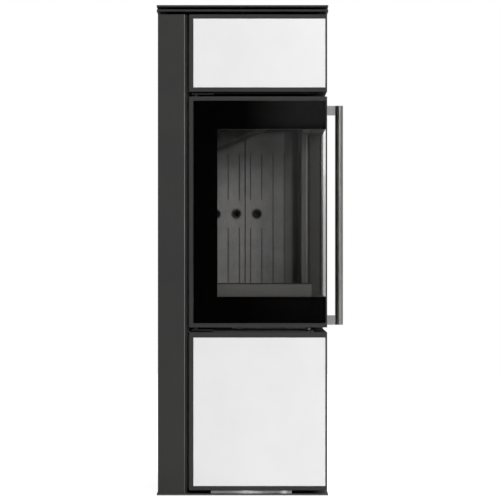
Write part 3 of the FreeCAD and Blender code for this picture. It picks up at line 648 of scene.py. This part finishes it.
def smooth(piece: Piece) -> None:
    """Shade a piece smooth."""
    count = len(piece.data.polygons)
    piece.data.polygons.foreach_set("use_smooth", np.ones(count, dtype=bool))


def thicken(piece: Piece, thick_mm: float) -> None:
    """Give an open sheet a wall behind its face, closed at the edges.

    Args:
        piece: the open sheet.
        thick_mm: the wall's thickness.
    """
    wall = piece.modifiers.new("thickness", "SOLIDIFY")
    wall.thickness = thick_mm * MM
    wall.offset = -1.0


def slabs(*boxes: tuple[Place, Place]) -> tuple[Array, Array]:
    """Closed boxes in one mesh, the upright axis running fastest over the corners of each.

    Args:
        boxes: the lowest and the highest corner of each, in metres.
    Returns:
        The points and the quads.
    """
    points = [[[x, y, z] for x in (low[0], high[0]) for y in (low[1], high[1]) for z in (low[2], high[2])]
              for low, high in boxes]
    faces = [SLAB_FACES + number * len(box) for number, box in enumerate(points)]
    return np.concatenate(points), np.concatenate(faces)


def across_diagonal(points: Array) -> Array:
    """Mirror points over the plan's diagonal, from the front to the right side: (x, y) becomes (-y, -x)."""
    return np.stack([-points[..., 1], -points[..., 0], points[..., 2]], axis=-1)


def half_round(low: float, high: float, foot: float, rise: float, steps: int) -> Array:
    """A closed profile with a flat foot and a half ellipse over it: radius by cosine, height by sine.

    Args:
        low: least radius, in metres like the rest.
        high: greatest radius.
        foot: height of the flat foot.
        rise: height of the half ellipse, less than 0 to hang under the foot.
        steps: points of the half ellipse.
    Returns:
        Radius and height of each point.
    """
    angle = np.linspace(0.0, math.pi, steps)
    middle, half = (low + high) / 2, (high - low) / 2
    return np.stack([middle + half * np.cos(angle), foot + rise * np.sin(angle)], axis=1)


def carry(name: str, stations: Array) -> Piece:
    """Carry a closed section through its stations and close both ends at the section's middle.

    Args:
        name: the piece's name.
        stations: places of the section's points, stations by points.
    Returns:
        The closed piece.
    """
    ends = np.broadcast_to(stations[[0, -1]].mean(axis=1, keepdims=True), stations[[0, -1]].shape)
    rows = np.concatenate([ends[:1], stations, ends[1:]])
    return make_piece(name, rows, grid_faces(len(rows), stations.shape[1], False, True), weld=True)


@dataclass
class Workshop:
    """The finishes, made once and handed to the pieces."""

    finishes: dict[Slot | Own, Material] = field(default_factory=dict)

    def prepare(self) -> None:
        """Build every finish."""
        self.finishes.update({slot: finish.build() for slot, finish in SLOT_FINISHES.items()})
        self.finishes.update({own: own.value.build() for own in Own})

    def dress_nodes(self) -> None:
        """Give every carried-over node its own finish, or that of its slot."""
        for part in frame["record"]["subparts"]:
            name, slot = part["node"], Slot(part["material_slot"])
            finish = self.finishes[NODE_FINISHES.get(name, slot)]
            materials = frame["nodes"][name].data.materials
            materials.clear()
            materials.append(finish)
            LOG.info("dressed %s with %s", name, finish.name)

    def fit(self, piece: Piece, body: Body, slot: Slot, own: Own | None = None) -> None:
        """Dress a new piece and let it ride.

        Args:
            piece: the new object.
            body: the body that it moves with.
            slot: the record's slot that it belongs to.
            own: a finish of its own, where it isn't the slot's.
        """
        piece.data.materials.append(self.finishes[own or slot])
        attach(piece, body.value)
        LOG.info("made %s on %s", piece.name, body.value)


@dataclass
class Assembly:
    """Pieces that belong together, and the workshop that dresses them."""

    shop: Workshop


@dataclass
class GlassPrint(Assembly):
    """The black print on the back of each pane, from its rim to the gasket, open at the glazed corner."""

    thick_mm: float = 0.3
    gap_mm: float = 0.1
    edge_mm: float = 1.0

    def front_points(self) -> Array:
        """A strip of two edges along four stations: one edge round the pane's rim, one along the gasket.

        Returns:
            Grid of points, stations by edges.
        """
        low, high = corners("front_glass")
        tape_low, tape_high = corners("glass_gasket")
        edge = self.edge_mm * MM
        y = high[1] + self.gap_mm * MM
        right = high[0]
        runs = ((low[0] + edge, low[2] + edge, high[2] - edge), (tape_low[0], tape_low[2], tape_high[2]))
        edges = [[[right, y, foot], [left, y, foot], [left, y, head], [right, y, head]]
                 for left, foot, head in runs]
        return np.stack(np.array(edges), axis=1)

    def build(self) -> None:
        """Make the two printed margins."""
        points = self.front_points()
        faces = grid_faces(*points.shape[:2])
        for name, places, quads in (("front_glass_print", points, faces),
                                    ("side_glass_print", across_diagonal(points), faces[:, ::-1])):
            piece = make_piece(name, places, quads)
            thicken(piece, self.thick_mm)
            self.shop.fit(piece, Body.DOOR, Slot.GLASS, Own.PRINT)


@dataclass
class WindowTape(Assembly):
    """Black tape at the end of each pane: over the frame's edge beside the window, and on the pane's end."""

    gasket_mm: float = 12.0
    tape_mm: float = 1.5
    fold_mm: float = 4.5
    thick_mm: float = 0.2
    gap_mm: float = 0.05
    margin_mm: float = 0.4

    def front_slabs(self) -> tuple[Array, Array]:
        """The two strips of the front pane, as closed slabs.

        Returns:
            The points and the quads.
        """
        low, high = corners("front_glass")
        tape_low, tape_high = corners("glass_gasket")
        margin, gap, thick = self.margin_mm * MM, self.gap_mm * MM, self.thick_mm * MM
        inset = self.gasket_mm * MM
        left, back = tape_low[0] + inset + gap, high[1] + self.tape_mm * MM
        foot, head = tape_low[2] + inset + margin, tape_high[2] - inset - margin
        fold = ((left, back + margin, foot), (left + thick, back + self.fold_mm * MM, head))
        end = ((low[0] - gap - thick, low[1] + margin, low[2] + margin),
               (low[0] - gap, high[1] - margin, high[2] - margin))
        return slabs(fold, end)

    def build(self) -> None:
        """Make the strips of the two panes."""
        points, faces = self.front_slabs()
        for name, places in (("front_pane_tape", points), ("side_pane_tape", across_diagonal(points))):
            piece = make_piece(name, places, faces, weld=True)
            self.shop.fit(piece, Body.DOOR, Slot.TRIM, Own.TAPE)


@dataclass
class JointStrips(Assembly):
    """Strips in painted light behind the upright joint between each casing and the facade, one in each
    storey.

    The rear joint has none in the middle storey, where the latch hooks turn.
    """

    depth_mm: float = 37.0
    thick_mm: float = 1.0
    lap_mm: float = 9.0
    gap_mm: float = 0.2

    def front_boxes(self) -> list[tuple[Place, Place]]:
        """The strips beside the left casing, upwards between floor panel, decks and the casing's head.

        Returns:
            The lowest and the highest corner of each.
        """
        casing, facade = corners("left_casing")[1], corners("lower_tile_frame")[0]
        hearth, upper = corners("hearth_deck"), corners("upper_deck")
        gap = self.gap_mm * MM
        front = facade[1] + self.depth_mm * MM
        left, right = casing[0] - self.lap_mm * MM, facade[0] - gap
        feet = (corners("floor_panel")[1][2], hearth[1][2], upper[1][2])
        heads = (hearth[0][2], upper[0][2], casing[2])
        return [((left, front, foot + gap), (right, front + self.thick_mm * MM, head - gap))
                for foot, head in zip(feet, heads)]

    def build(self) -> None:
        """Make the strips beside the two casings."""
        low, middle, top = self.front_boxes()
        points, faces = slabs(low, middle, top)
        rear_points, rear_faces = slabs(low, top)
        for name, places, quads in (("left_joint_strips", points, faces),
                                    ("rear_joint_strips", across_diagonal(rear_points), rear_faces)):
            piece = make_piece(name, places, quads, weld=True)
            self.shop.fit(piece, Body.STOVE, Slot.PAINT, Own.UPRIGHT_GAP_LIGHT)


@dataclass
class RopeSeal(Assembly):
    """The braided rope in the door's groove, all the way round the window and the corner."""

    width_mm: float = 10.0
    depth_mm: float = 7.7
    strands: int = 8
    pitch_mm: float = 16.0
    swell: float = 0.09
    bend_mm: float = 9.0
    bend_steps: int = 9
    step_mm: float = 1.6
    sides: int = 24

    def loop(self) -> tuple[Array, float, float]:
        """The rope's closed centre line: six bends, each a short quadratic curve between two points set back
        along its runs, and sampled evenly.

        Returns:
            Points on the line, and the rope's half width and half depth.
        """
        low, high = corners("door_rope_seal")
        half_w = self.width_mm * MM / 2
        half_d = self.depth_mm * MM / 2
        near = -low[1] - half_d
        left = low[0] + half_w
        foot, head = low[2] + half_w, high[2] - half_w
        bends = np.array([[left, -near, foot], [near, -near, foot], [near, -left, foot], [near, -left, head],
                          [near, -near, head], [left, -near, head]])
        before = np.roll(bends, 1, axis=0) - bends
        after = np.roll(bends, -1, axis=0) - bends
        back = self.bend_mm * MM
        start = bends + back * before / np.linalg.norm(before, axis=1, keepdims=True)
        end = bends + back * after / np.linalg.norm(after, axis=1, keepdims=True)
        t = np.linspace(0.0, 1.0, self.bend_steps)[None, :, None]
        curve = (1 - t) ** 2 * start[:, None] + 2 * t * (1 - t) * bends[:, None] + t ** 2 * end[:, None]
        line = curve.reshape(-1, 3)
        closed = np.vstack([line, line[:1]])
        along = np.concatenate([[0.0], np.cumsum(np.linalg.norm(np.diff(closed, axis=0), axis=1))])
        count = int(along[-1] / (self.step_mm * MM))
        even = np.linspace(0.0, along[-1], count, endpoint=False)
        return np.stack([np.interp(even, along, closed[:, k]) for k in range(3)], axis=1), half_w, half_d

    def build(self) -> None:
        """Carry an oval section along the loop. Its radius swells where either of two opposite sets of
        strands is on top: the larger of sine(n a + s) and sine(n a - s), a round the rope and s along it."""
        line, half_w, half_d = self.loop()
        tangent = np.roll(line, -1, axis=0) - np.roll(line, 1, axis=0)
        tangent /= np.linalg.norm(tangent, axis=1, keepdims=True)
        outward = np.tile(np.array([1.0, -1.0, 0.0]) / math.sqrt(2.0), (len(line), 1))
        outward -= tangent * np.sum(outward * tangent, axis=1, keepdims=True)
        outward /= np.linalg.norm(outward, axis=1, keepdims=True)
        across = np.cross(tangent, outward)
        angle = np.linspace(0.0, 2 * math.pi, self.sides, endpoint=False)
        turns = round(len(line) * self.step_mm / self.pitch_mm)
        phase = 2 * math.pi * turns * np.arange(len(line)) / len(line)
        half = self.strands / 2
        wave = np.maximum(np.sin(half * angle[None] + half * phase[:, None] / 2),
                          np.sin(half * angle[None] - half * phase[:, None] / 2))
        swell = 1.0 - self.swell * (1.0 - wave)
        points = (line[:, None] + outward[:, None] * (half_d * np.cos(angle)[None] * swell)[..., None]
                  + across[:, None] * (half_w * np.sin(angle)[None] * swell)[..., None])
        piece = make_piece("door_rope", points, grid_faces(len(line), self.sides, True, True))
        height = piece.data.attributes.new("braid", "FLOAT", "POINT")
        height.data.foreach_set("value", ((wave + 1.0) / 2.0).ravel())
        smooth(piece)
        self.shop.fit(piece, Body.DOOR, Slot.ROPE)
        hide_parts("door_rope_seal")


@dataclass
class EdgeShine(Assembly):
    """Edges with a painted highlight where light would catch them: the fold of each casing and the lip on the
    seat's rear post.
    """

    bend_mm: float = 2.0
    flange_mm: float = 6.0
    cover_mm: float = 0.15
    fold_end_mm: float = 0.2
    lip_setback_mm: float = 8.0
    lip_r_mm: float = 1.3
    lip_above_mm: float = 1.0
    skin_mm: float = 0.4
    steps: int = 9

    def rod(self, axis: Pair, radius_mm: float, start: float, span: Pair) -> Array:
        """An upright piece of a round rod: the angle runs across it, up to +X, and the height along it.

        Args:
            axis: x and y of the rod's axis, in metres.
            radius_mm: the rod's radius.
            start: first angle, in degrees from +X.
            span: its lower and upper end, in metres.
        Returns:
            Grid of points, heights by angles.
        """
        angle = np.radians(np.linspace(start, 0.0, self.steps))[None, :]
        radius = radius_mm * MM
        grid = np.broadcast_arrays(axis[0] + radius * np.cos(angle), axis[1] + radius * np.sin(angle),
                                   np.array(span)[:, None])
        return np.stack(grid, axis=-1)

    def build(self) -> None:
        """Make the fold on both sides, a quarter round, and the lip, a half round."""
        low, high = corners("left_casing")
        bend, end = self.bend_mm * MM, self.fold_end_mm * MM
        fold_axis = (high[0] - self.flange_mm * MM - bend, low[1] + bend)
        fold = self.rod(fold_axis, self.bend_mm + self.cover_mm, -90.0, (low[2] + end, high[2] - end))
        lip_axis = (corners("door_seat")[1][0] - self.lip_setback_mm * MM, POST_FACE_MM * MM)
        lip = self.rod(lip_axis, self.lip_r_mm, -180.0, post_span(self.lip_above_mm))
        faces = grid_faces(2, self.steps)
        for name, points, quads, own in (
            ("left_casing_fold", fold, faces, Own.FOLD_HIGHLIGHT),
            ("seat_lip", lip, faces, Own.BEAD_HIGHLIGHT),
            ("rear_casing_fold", across_diagonal(fold), faces[:, ::-1], Own.FOLD_HIGHLIGHT),
        ):
            piece = make_piece(name, points, quads)
            thicken(piece, self.skin_mm)
            smooth(piece)
            self.shop.fit(piece, Body.STOVE, Slot.PAINT, own)


@dataclass
class ScrewHeads(Assembly):
    """Button-head screws with a hexagon socket, in place of the plain discs on the casing."""

    radius_mm: float = 4.0
    socket_mm: float = 2.0  # half its width across flats
    socket_deep_mm: float = 1.3
    crown: float = 0.42  # share of a half turn that the crown rises through
    crown_steps: int = 8
    sides: int = 36

    def head(self, height: float) -> Array:
        """One head about +Z: an ellipse from the seat up to the socket's rim, then down a hexagonal wall to
        its flat floor. The socket's radius at each angle is a / cos(angle to the nearest flat).

        Args:
            height: the head's height in metres.
        Returns:
            Grid of points, rings by angles.
        """
        angle = np.linspace(0.0, 2 * math.pi, self.sides, endpoint=False)
        flat = np.mod(angle, math.pi / 3) - math.pi / 6
        hexagon = self.socket_mm * MM / np.cos(flat)
        middle, rim = np.zeros_like(angle), np.full_like(angle, self.radius_mm * MM)
        rise = np.linspace(0.0, self.crown * math.pi, self.crown_steps)
        top = height * math.sin(rise[-1])
        floor = top - self.socket_deep_mm * MM
        crown = [rim * math.cos(a) for a in rise]
        radius = np.stack([middle, *crown, hexagon, hexagon, middle])
        level = np.array([0.0, *(height * np.sin(rise)), top, floor, floor])[:, None]
        grid = np.broadcast_arrays(radius * np.cos(angle)[None], radius * np.sin(angle)[None], level)
        return np.stack(grid, axis=-1)

    def build(self) -> None:
        """Place the heads at the plain screws: three across and two up on the rear, the same on the left."""
        low, high = corners("casing_screws")
        radius = self.radius_mm * MM
        reach = high[0] - radius
        face = corners("rear_casing")[1][1]
        head = self.head(high[1] - face)
        rear = np.stack([head[..., 0], head[..., 2] + face, head[..., 1]], axis=-1)
        across = (-reach, 0.0, reach)
        heights = (low[2] + radius, high[2] - radius)
        places = np.array([[x, 0.0, z] for x in across for z in heights])
        rear_heads = rear[None] + places[:, None, None, :]
        rings, sides = head.shape[:2]
        quads = grid_faces(rings, sides, False, True)
        count = rings * sides
        rear_quads = (quads[None, :, ::-1] + (np.arange(len(places)) * count)[:, None, None]).reshape(-1, 4)
        left_quads = rear_quads[:, ::-1] + len(places) * count
        points = np.concatenate([rear_heads.reshape(-1, 3), across_diagonal(rear_heads).reshape(-1, 3)])
        piece = make_piece("casing_screw_heads", points, np.concatenate([rear_quads, left_quads]), weld=True)
        self.shop.fit(piece, Body.STOVE, Slot.STEEL)
        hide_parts("casing_screws")


@dataclass
class FlueRim(Assembly):
    """The turned-down edge of the flue hole in the top plate."""

    hole_mm: float = 83.0
    sheet_mm: float = 2.0
    drop_mm: float = 10.0
    fit_mm: float = 0.1
    sides: int = 128
    steps: int = 13

    def profile(self) -> Array:
        """The rim hangs in the hole from just under the plate's top face and ends in a rounded edge.

        Returns:
            Radius and height of each point.
        """
        low, high = corners("top_plate")
        top, edge = high[2] - self.fit_mm * MM, low[2] - self.drop_mm * MM
        outer = (self.hole_mm - self.fit_mm) * MM
        inner = outer - self.sheet_mm * MM
        round_edge = half_round(inner, outer, edge, -self.sheet_mm * MM / 2, self.steps)[::-1]
        return np.vstack([round_edge, [[outer, top], [inner, top]]])

    def build(self) -> None:
        """Carry the profile round the upright axis: radius r and height z go to (r cos a, r sin a, z)."""
        profile = self.profile()
        angle = np.linspace(0.0, 2 * math.pi, self.sides, endpoint=False)[:, None]
        radius, height = profile[None, :, 0], profile[None, :, 1]
        grid = np.broadcast_arrays(radius * np.cos(angle), radius * np.sin(angle), height)
        faces = grid_faces(self.sides, len(profile), True, True)
        piece = make_piece("flue_hole_rim", np.stack(grid, axis=-1), faces, weld=True)
        smooth(piece)
        self.shop.fit(piece, Body.STOVE, Slot.PAINT)


@dataclass
class BaseStrip(Assembly):
    """The bare galvanised strip in the gap under the lower tiles, pressed forward in two bulges."""

    start_mm: float = -86.0
    end_mm: float = 134.0
    face_mm: float = 12.0
    sheet_mm: float = 0.8
    fit_mm: float = 0.2
    bulge_mm: float = 10.0
    bulges_mm: tuple[Pair, ...] = ((8.0, 62.0), (110.0, 26.0))  # middle and half width of each
    columns: int = 111
    rows: int = 5

    def build(self) -> None:
        """Make the strip: upright, its depth less a raised cosine over each bulge's half width."""
        facade = corners("lower_tile_frame")[0]
        foot = corners("base_plate")[1][2] + self.fit_mm * MM
        head = facade[2] - self.fit_mm * MM
        across = np.linspace(self.start_mm, self.end_mm, self.columns)
        out = np.zeros_like(across)
        for middle, half in self.bulges_mm:
            wave = (1 + np.cos(math.pi * (across - middle) / half)) / 2
            out += np.where(abs(across - middle) < half, wave, 0.0)
        face = facade[1] + (self.face_mm - self.bulge_mm * out) * MM
        height = np.linspace(foot, head, self.rows)[:, None]
        points = np.stack(np.broadcast_arrays(across * MM, face, height), axis=-1)
        piece = make_piece("base_air_strip", points, grid_faces(self.rows, self.columns))
        thicken(piece, self.sheet_mm)
        smooth(piece)
        self.shop.fit(piece, Body.STOVE, Slot.STEEL, Own.GALVANISED)


@dataclass
class FireboxTrim(Assembly):
    """Thin trim in the firebox: a black bead on the log guard as a painted shadow, a pale bead on the rear
    wall as a painted highlight, cement in the linings' joint, a black strip on the seat's rear post as
    painted shade, and an apron in painted shade over the sloped baffle."""

    guard_width_mm: float = 5.0
    guard_rise_mm: float = 3.2
    guard_setback_mm: float = 0.4
    joint_width_mm: float = 2.6
    joint_rise_mm: float = 0.6
    wall_x_mm: float = 160.4
    wall_width_mm: float = 5.0
    wall_rise_mm: float = 2.2
    shade_strip_setback_mm: Pair = (3.7, 0.1)
    shade_strip_above_mm: float = 2.0
    shade_strip_thick_mm: float = 0.3
    baffle_mm: float = 22.0
    baffle_slope_deg: float = 22.8
    apron_mm: float = 3.0
    fit_mm: float = 0.1
    steps: int = 13

    def guard_stations(self) -> Array:
        """The half round stands on the guard and is mitred at its corner: a point at reach r from the middle
        lies at (x, -r) on the front run and at (r, -y) on the side run.

        Returns:
            Places of the section's points, stations by points.
        """
        low, high = corners("log_guard")
        outer = high[0] - self.guard_setback_mm * MM
        section = half_round(outer - self.guard_width_mm * MM, outer, high[2] + self.fit_mm * MM,
                             self.guard_rise_mm * MM, self.steps)
        reach, height = section[:, 0], section[:, 1]
        end = np.full_like(reach, low[0] + self.guard_setback_mm * MM)
        runs = ((end, -reach), (reach, -reach), (reach, -end))
        return np.stack([np.stack([x, y, height], axis=1) for x, y in runs])

    def upright(self, middle: float, half: float, face: float, rise_mm: float, span: Pair) -> Array:
        """A half round that lies on the face of a wall and stands upright.

        Args:
            middle: x of its middle, in metres.
            half: half its width, in metres.
            face: y of the wall's face, in metres.
            rise_mm: its height over the face.
            span: its lower and upper end, in metres.
        Returns:
            Places of the section's points, stations by points.
        """
        section = half_round(middle - half, middle + half, face - self.fit_mm * MM, -rise_mm * MM, self.steps)
        return np.stack([np.column_stack([section, np.full(self.steps, z)]) for z in span])

    def apron_corners(self) -> Array:
        """The apron closes the space over the sloped baffle: its foot runs along the baffle's lower front
        edge, and its head is level.

        Returns:
            The eight corners, to go with SLAB_FACES.
        """
        low, high = corners("lower_baffle")
        slope = math.radians(self.baffle_slope_deg)
        left = low[0] + self.baffle_mm * MM * math.sin(slope)
        right_foot = high[2] - self.baffle_mm * MM * math.cos(slope)
        back = low[1] - self.fit_mm * MM
        front = back - self.apron_mm * MM
        ends = ((left, low[2]), (high[0], right_foot))
        return np.array([[x, y, z] for x, foot in ends for y in (front, back) for z in (foot, high[2])])

    def shade_strip_box(self) -> tuple[Place, Place]:
        """A black strip of painted shade lies on the edge of the seat's rear post, beside the door's rope.

        Returns:
            Its lowest and its highest corner.
        """
        edge = corners("door_seat")[1][0]
        left, right = (edge - setback * MM for setback in self.shade_strip_setback_mm)
        face = (POST_FACE_MM - self.fit_mm) * MM
        foot, head = post_span(self.shade_strip_above_mm)
        return (left, face - self.shade_strip_thick_mm * MM, foot), (right, face, head)

    def build(self) -> None:
        """Make every piece."""
        lining_low, lining_high = corners("back_lining_right")
        wall_low, wall_high = corners("firebox_rear_wall")
        wall_half, joint_half = self.wall_width_mm * MM / 2, self.joint_width_mm * MM / 2
        wall = self.upright(self.wall_x_mm * MM, wall_half, wall_low[1], self.wall_rise_mm,
                            (lining_low[2], wall_high[2] - wall_half))
        joint = self.upright(lining_low[0], joint_half, lining_low[1], self.joint_rise_mm,
                             (lining_low[2], lining_high[2]))
        for piece, slot, own in (
            # painted shadow: a black bead on the guard's top, for the shade between guard and lining
            (carry("log_guard_shadow_bead", self.guard_stations()), Slot.IRON, Own.BLACK_AND_SHADE),
            # painted shade: the apron takes the baffles' dark tone where the space over them lies in shade
            (make_piece("baffle_apron", self.apron_corners(), SLAB_FACES), Slot.LINING, Own.SOOT_AND_SHADE),
            # painted shade: a black strip for the shaded recess beside the post
            (make_piece("seat_shade_strip", *slabs(self.shade_strip_box())), Slot.FIREBOX, Own.BLACK_AND_SHADE),
            # painted highlight: a pale bead for the light line in the dark gap
            (carry("rear_wall_bead", wall), Slot.FIREBOX, Own.BEAD_HIGHLIGHT),
            (carry("lining_joint_cement", joint), Slot.LINING, Own.SOOT_AND_SHADE),
        ):
            self.shop.fit(piece, Body.STOVE, slot, own)


@dataclass(frozen=True)
class Lamp:
    """A soft square lamp."""

    name: str
    place: Place
    target: Place
    watts: float
    shines: bool = True  # False keeps its image out of shiny surfaces
    side_m: float = 2.8

    def hang(self) -> None:
        """Hang the lamp at its place, facing its target."""
        data = bpy.data.lights.new(self.name, "AREA")
        data.shape = "SQUARE"
        data.size = self.side_m
        data.energy = self.watts
        lamp = bpy.data.objects.new(self.name, data)
        lamp.location = self.place
        lamp.rotation_euler = (Vector(self.target) - Vector(self.place)).to_track_quat("-Z", "Y").to_euler()
        lamp.visible_glossy = self.shines
        bpy.context.scene.collection.objects.link(lamp)


@dataclass
class Studio:
    """A white room with soft light: a key lamp before the stove on the right, one above and one at its right.

    Reaches are parts of a ray's direction, from -1 to 1 along each axis.
    """

    eye: Place = (0.0203, -6.829, 0.630)
    lens_mm: float = 175.65
    sensor_mm: float = 36.0
    shift_up: float = 0.0252
    sight_m: float = 60.0
    lamps: tuple[Lamp, ...] = (
        Lamp("lamp_key", (4.0, -9.6, 4.2), (0.0, 0.0, 0.6), 368.0),
        Lamp("lamp_top", (0.4, -5.4, 9.0), (0.0, -0.2, 0.6), 120.0),
        Lamp("lamp_right", (7.5, -3.2, 3.2), (0.1, 0.0, 0.8), 450.0, shines=False),
    )
    floor_m: float = 14.0
    room: float = 0.29
    dark: float = 0.006
    dark_reach: Pair = (-0.35, 0.1)
    screen: Pair = (0.03, 0.86)  # strength at its foot and at its head
    screen_start: Pair = (-0.002, 0.018)
    screen_fade: Pair = (0.06, 0.1)
    screen_height: Pair = (-0.03, 0.07)
    panel: float = 0.42
    panel_reach: Pair = (0.35, 0.75)
    behind_reach: Pair = (0.0, 0.6)
    beyond_foot: float = 0.7
    beyond_rise: Pair = (-0.008, 0.034)
    beyond_head: float = 1.6
    beyond_top: Pair = (0.0345, 0.0385)

    def camera(self) -> None:
        """Stand the camera level before the stove, with its lens shifted as the photograph's."""
        data = bpy.data.cameras.new("camera")
        data.lens = self.lens_mm
        data.sensor_width = self.sensor_mm
        data.shift_y = self.shift_up
        data.clip_end = self.sight_m
        camera = bpy.data.objects.new("camera", data)
        camera.location = self.eye
        camera.rotation_euler = (math.pi / 2, 0.0, 0.0)
        bpy.context.scene.collection.objects.link(camera)
        bpy.context.scene.camera = camera

    def floor(self) -> None:
        """Lay the floor."""
        half = self.floor_m / 2
        points = np.array([[x, y, 0.0] for y in (-half, half) for x in (-half, half)])
        piece = make_piece("floor", points, grid_faces(2, 2))
        piece.data.materials.append(PaleFloor().build())

    def mirrored(self, tree: Tree, axes: Any) -> Any:
        """The room in metal: grey behind the stove, nearly dark where the viewer stands, with a dim screen
        there and a pale panel on the right.

        Args:
            tree: node tree of the world.
            axes: sockets of the ray's direction.
        Returns:
            The strength's socket.
        """
        room = add_node(tree, "MapRange", ramp(axes["Y"], self.dark_reach, self.dark, self.room))["Result"]
        start = add_node(tree, "MapRange", ramp(axes["X"], self.screen_start))["Result"]
        fade = add_node(tree, "MapRange", ramp(axes["X"], self.screen_fade, 1.0, 0.0))["Result"]
        side = add_node(tree, "Math", {0: start, 1: fade}, operation="MULTIPLY")[0]
        height = add_node(tree, "MapRange", ramp(axes["Z"], self.screen_height, *self.screen))["Result"]
        screen = add_node(tree, "Math", {0: side, 1: height}, operation="MULTIPLY")[0]
        panel = add_node(tree, "MapRange", ramp(axes["X"], self.panel_reach, 0.0, self.panel))["Result"]
        glow = add_node(tree, "Math", {0: screen, 1: panel}, operation="MAXIMUM")[0]
        return add_node(tree, "Math", {0: room, 1: glow}, operation="MAXIMUM")[0]

    def beyond(self, tree: Tree, axes: Any) -> Any:
        """The room through glass: dark where the viewer stands, pale behind the stove, brightest high up.

        Args:
            tree: node tree of the world.
            axes: sockets of the ray's direction.
        Returns:
            The strength's socket.
        """
        depth = add_node(tree, "MapRange", ramp(axes["Y"], self.behind_reach, self.dark))["Result"]
        low = add_node(tree, "MapRange", ramp(axes["Z"], self.beyond_rise, self.beyond_foot))["Result"]
        high = add_node(tree, "MapRange", ramp(axes["Z"], self.beyond_top, 1.0, self.beyond_head))["Result"]
        rise = add_node(tree, "Math", {0: low, 1: high}, operation="MULTIPLY")[0]
        return add_node(tree, "Math", {0: depth, 1: rise}, operation="MULTIPLY")[0]

    def world(self) -> None:
        """Colour the room: an even light on the stove, white to the eye, its own look in metal and glass."""
        world = bpy.data.worlds.new("white_room")
        world.use_nodes = True
        tree = world.node_tree
        tree.nodes.clear()
        way = add_node(tree, "TexCoord")["Generated"]
        axes = add_node(tree, "SeparateXYZ", {0: way})
        strengths = (self.room, self.mirrored(tree, axes), 1.0, self.beyond(tree, axes))
        even, shiny, white, glazed = (
            add_node(tree, "Background", {"Color": WHITE, "Strength": strength})[0] for strength in strengths)
        path = add_node(tree, "LightPath")
        light = add_node(tree, "MixShader", {0: path["Is Glossy Ray"], 1: even, 2: shiny})[0]
        seen = add_node(tree, "MixShader", {0: path["Is Camera Ray"], 1: light, 2: white})[0]
        pane = add_node(tree, "Math", {0: path["Transparent Depth"], 1: 1.0}, operation="MINIMUM")[0]
        eye = add_node(tree, "Math", {0: pane, 1: path["Is Camera Ray"]}, operation="MULTIPLY")[0]
        through = add_node(tree, "Math", {0: eye, 1: path["Is Transmission Ray"]}, operation="MAXIMUM")[0]
        room_seen = add_node(tree, "MixShader", {0: through, 1: seen, 2: glazed})[0]
        add_node(tree, "OutputWorld", {"Surface": room_seen})
        bpy.context.scene.world = world

    def build(self) -> None:
        """Set the whole studio."""
        self.camera()
        self.floor()
        self.world()
        for lamp in self.lamps:
            lamp.hang()
        bpy.context.scene.view_settings.view_transform = "Standard"
        LOG.info("studio set")


def main() -> None:
    """Build the stove's finishes and pieces in order, then the studio."""
    logging.basicConfig(level=logging.INFO, format="%(name)s: %(message)s")
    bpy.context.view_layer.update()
    shop = Workshop()
    shop.prepare()
    shop.dress_nodes()
    for kind in (GlassPrint, WindowTape, JointStrips, RopeSeal, EdgeShine, ScrewHeads, FlueRim, BaseStrip,
                 FireboxTrim):
        kind(shop).build()
    Studio().build()


if __name__ == "__main__":
    main()
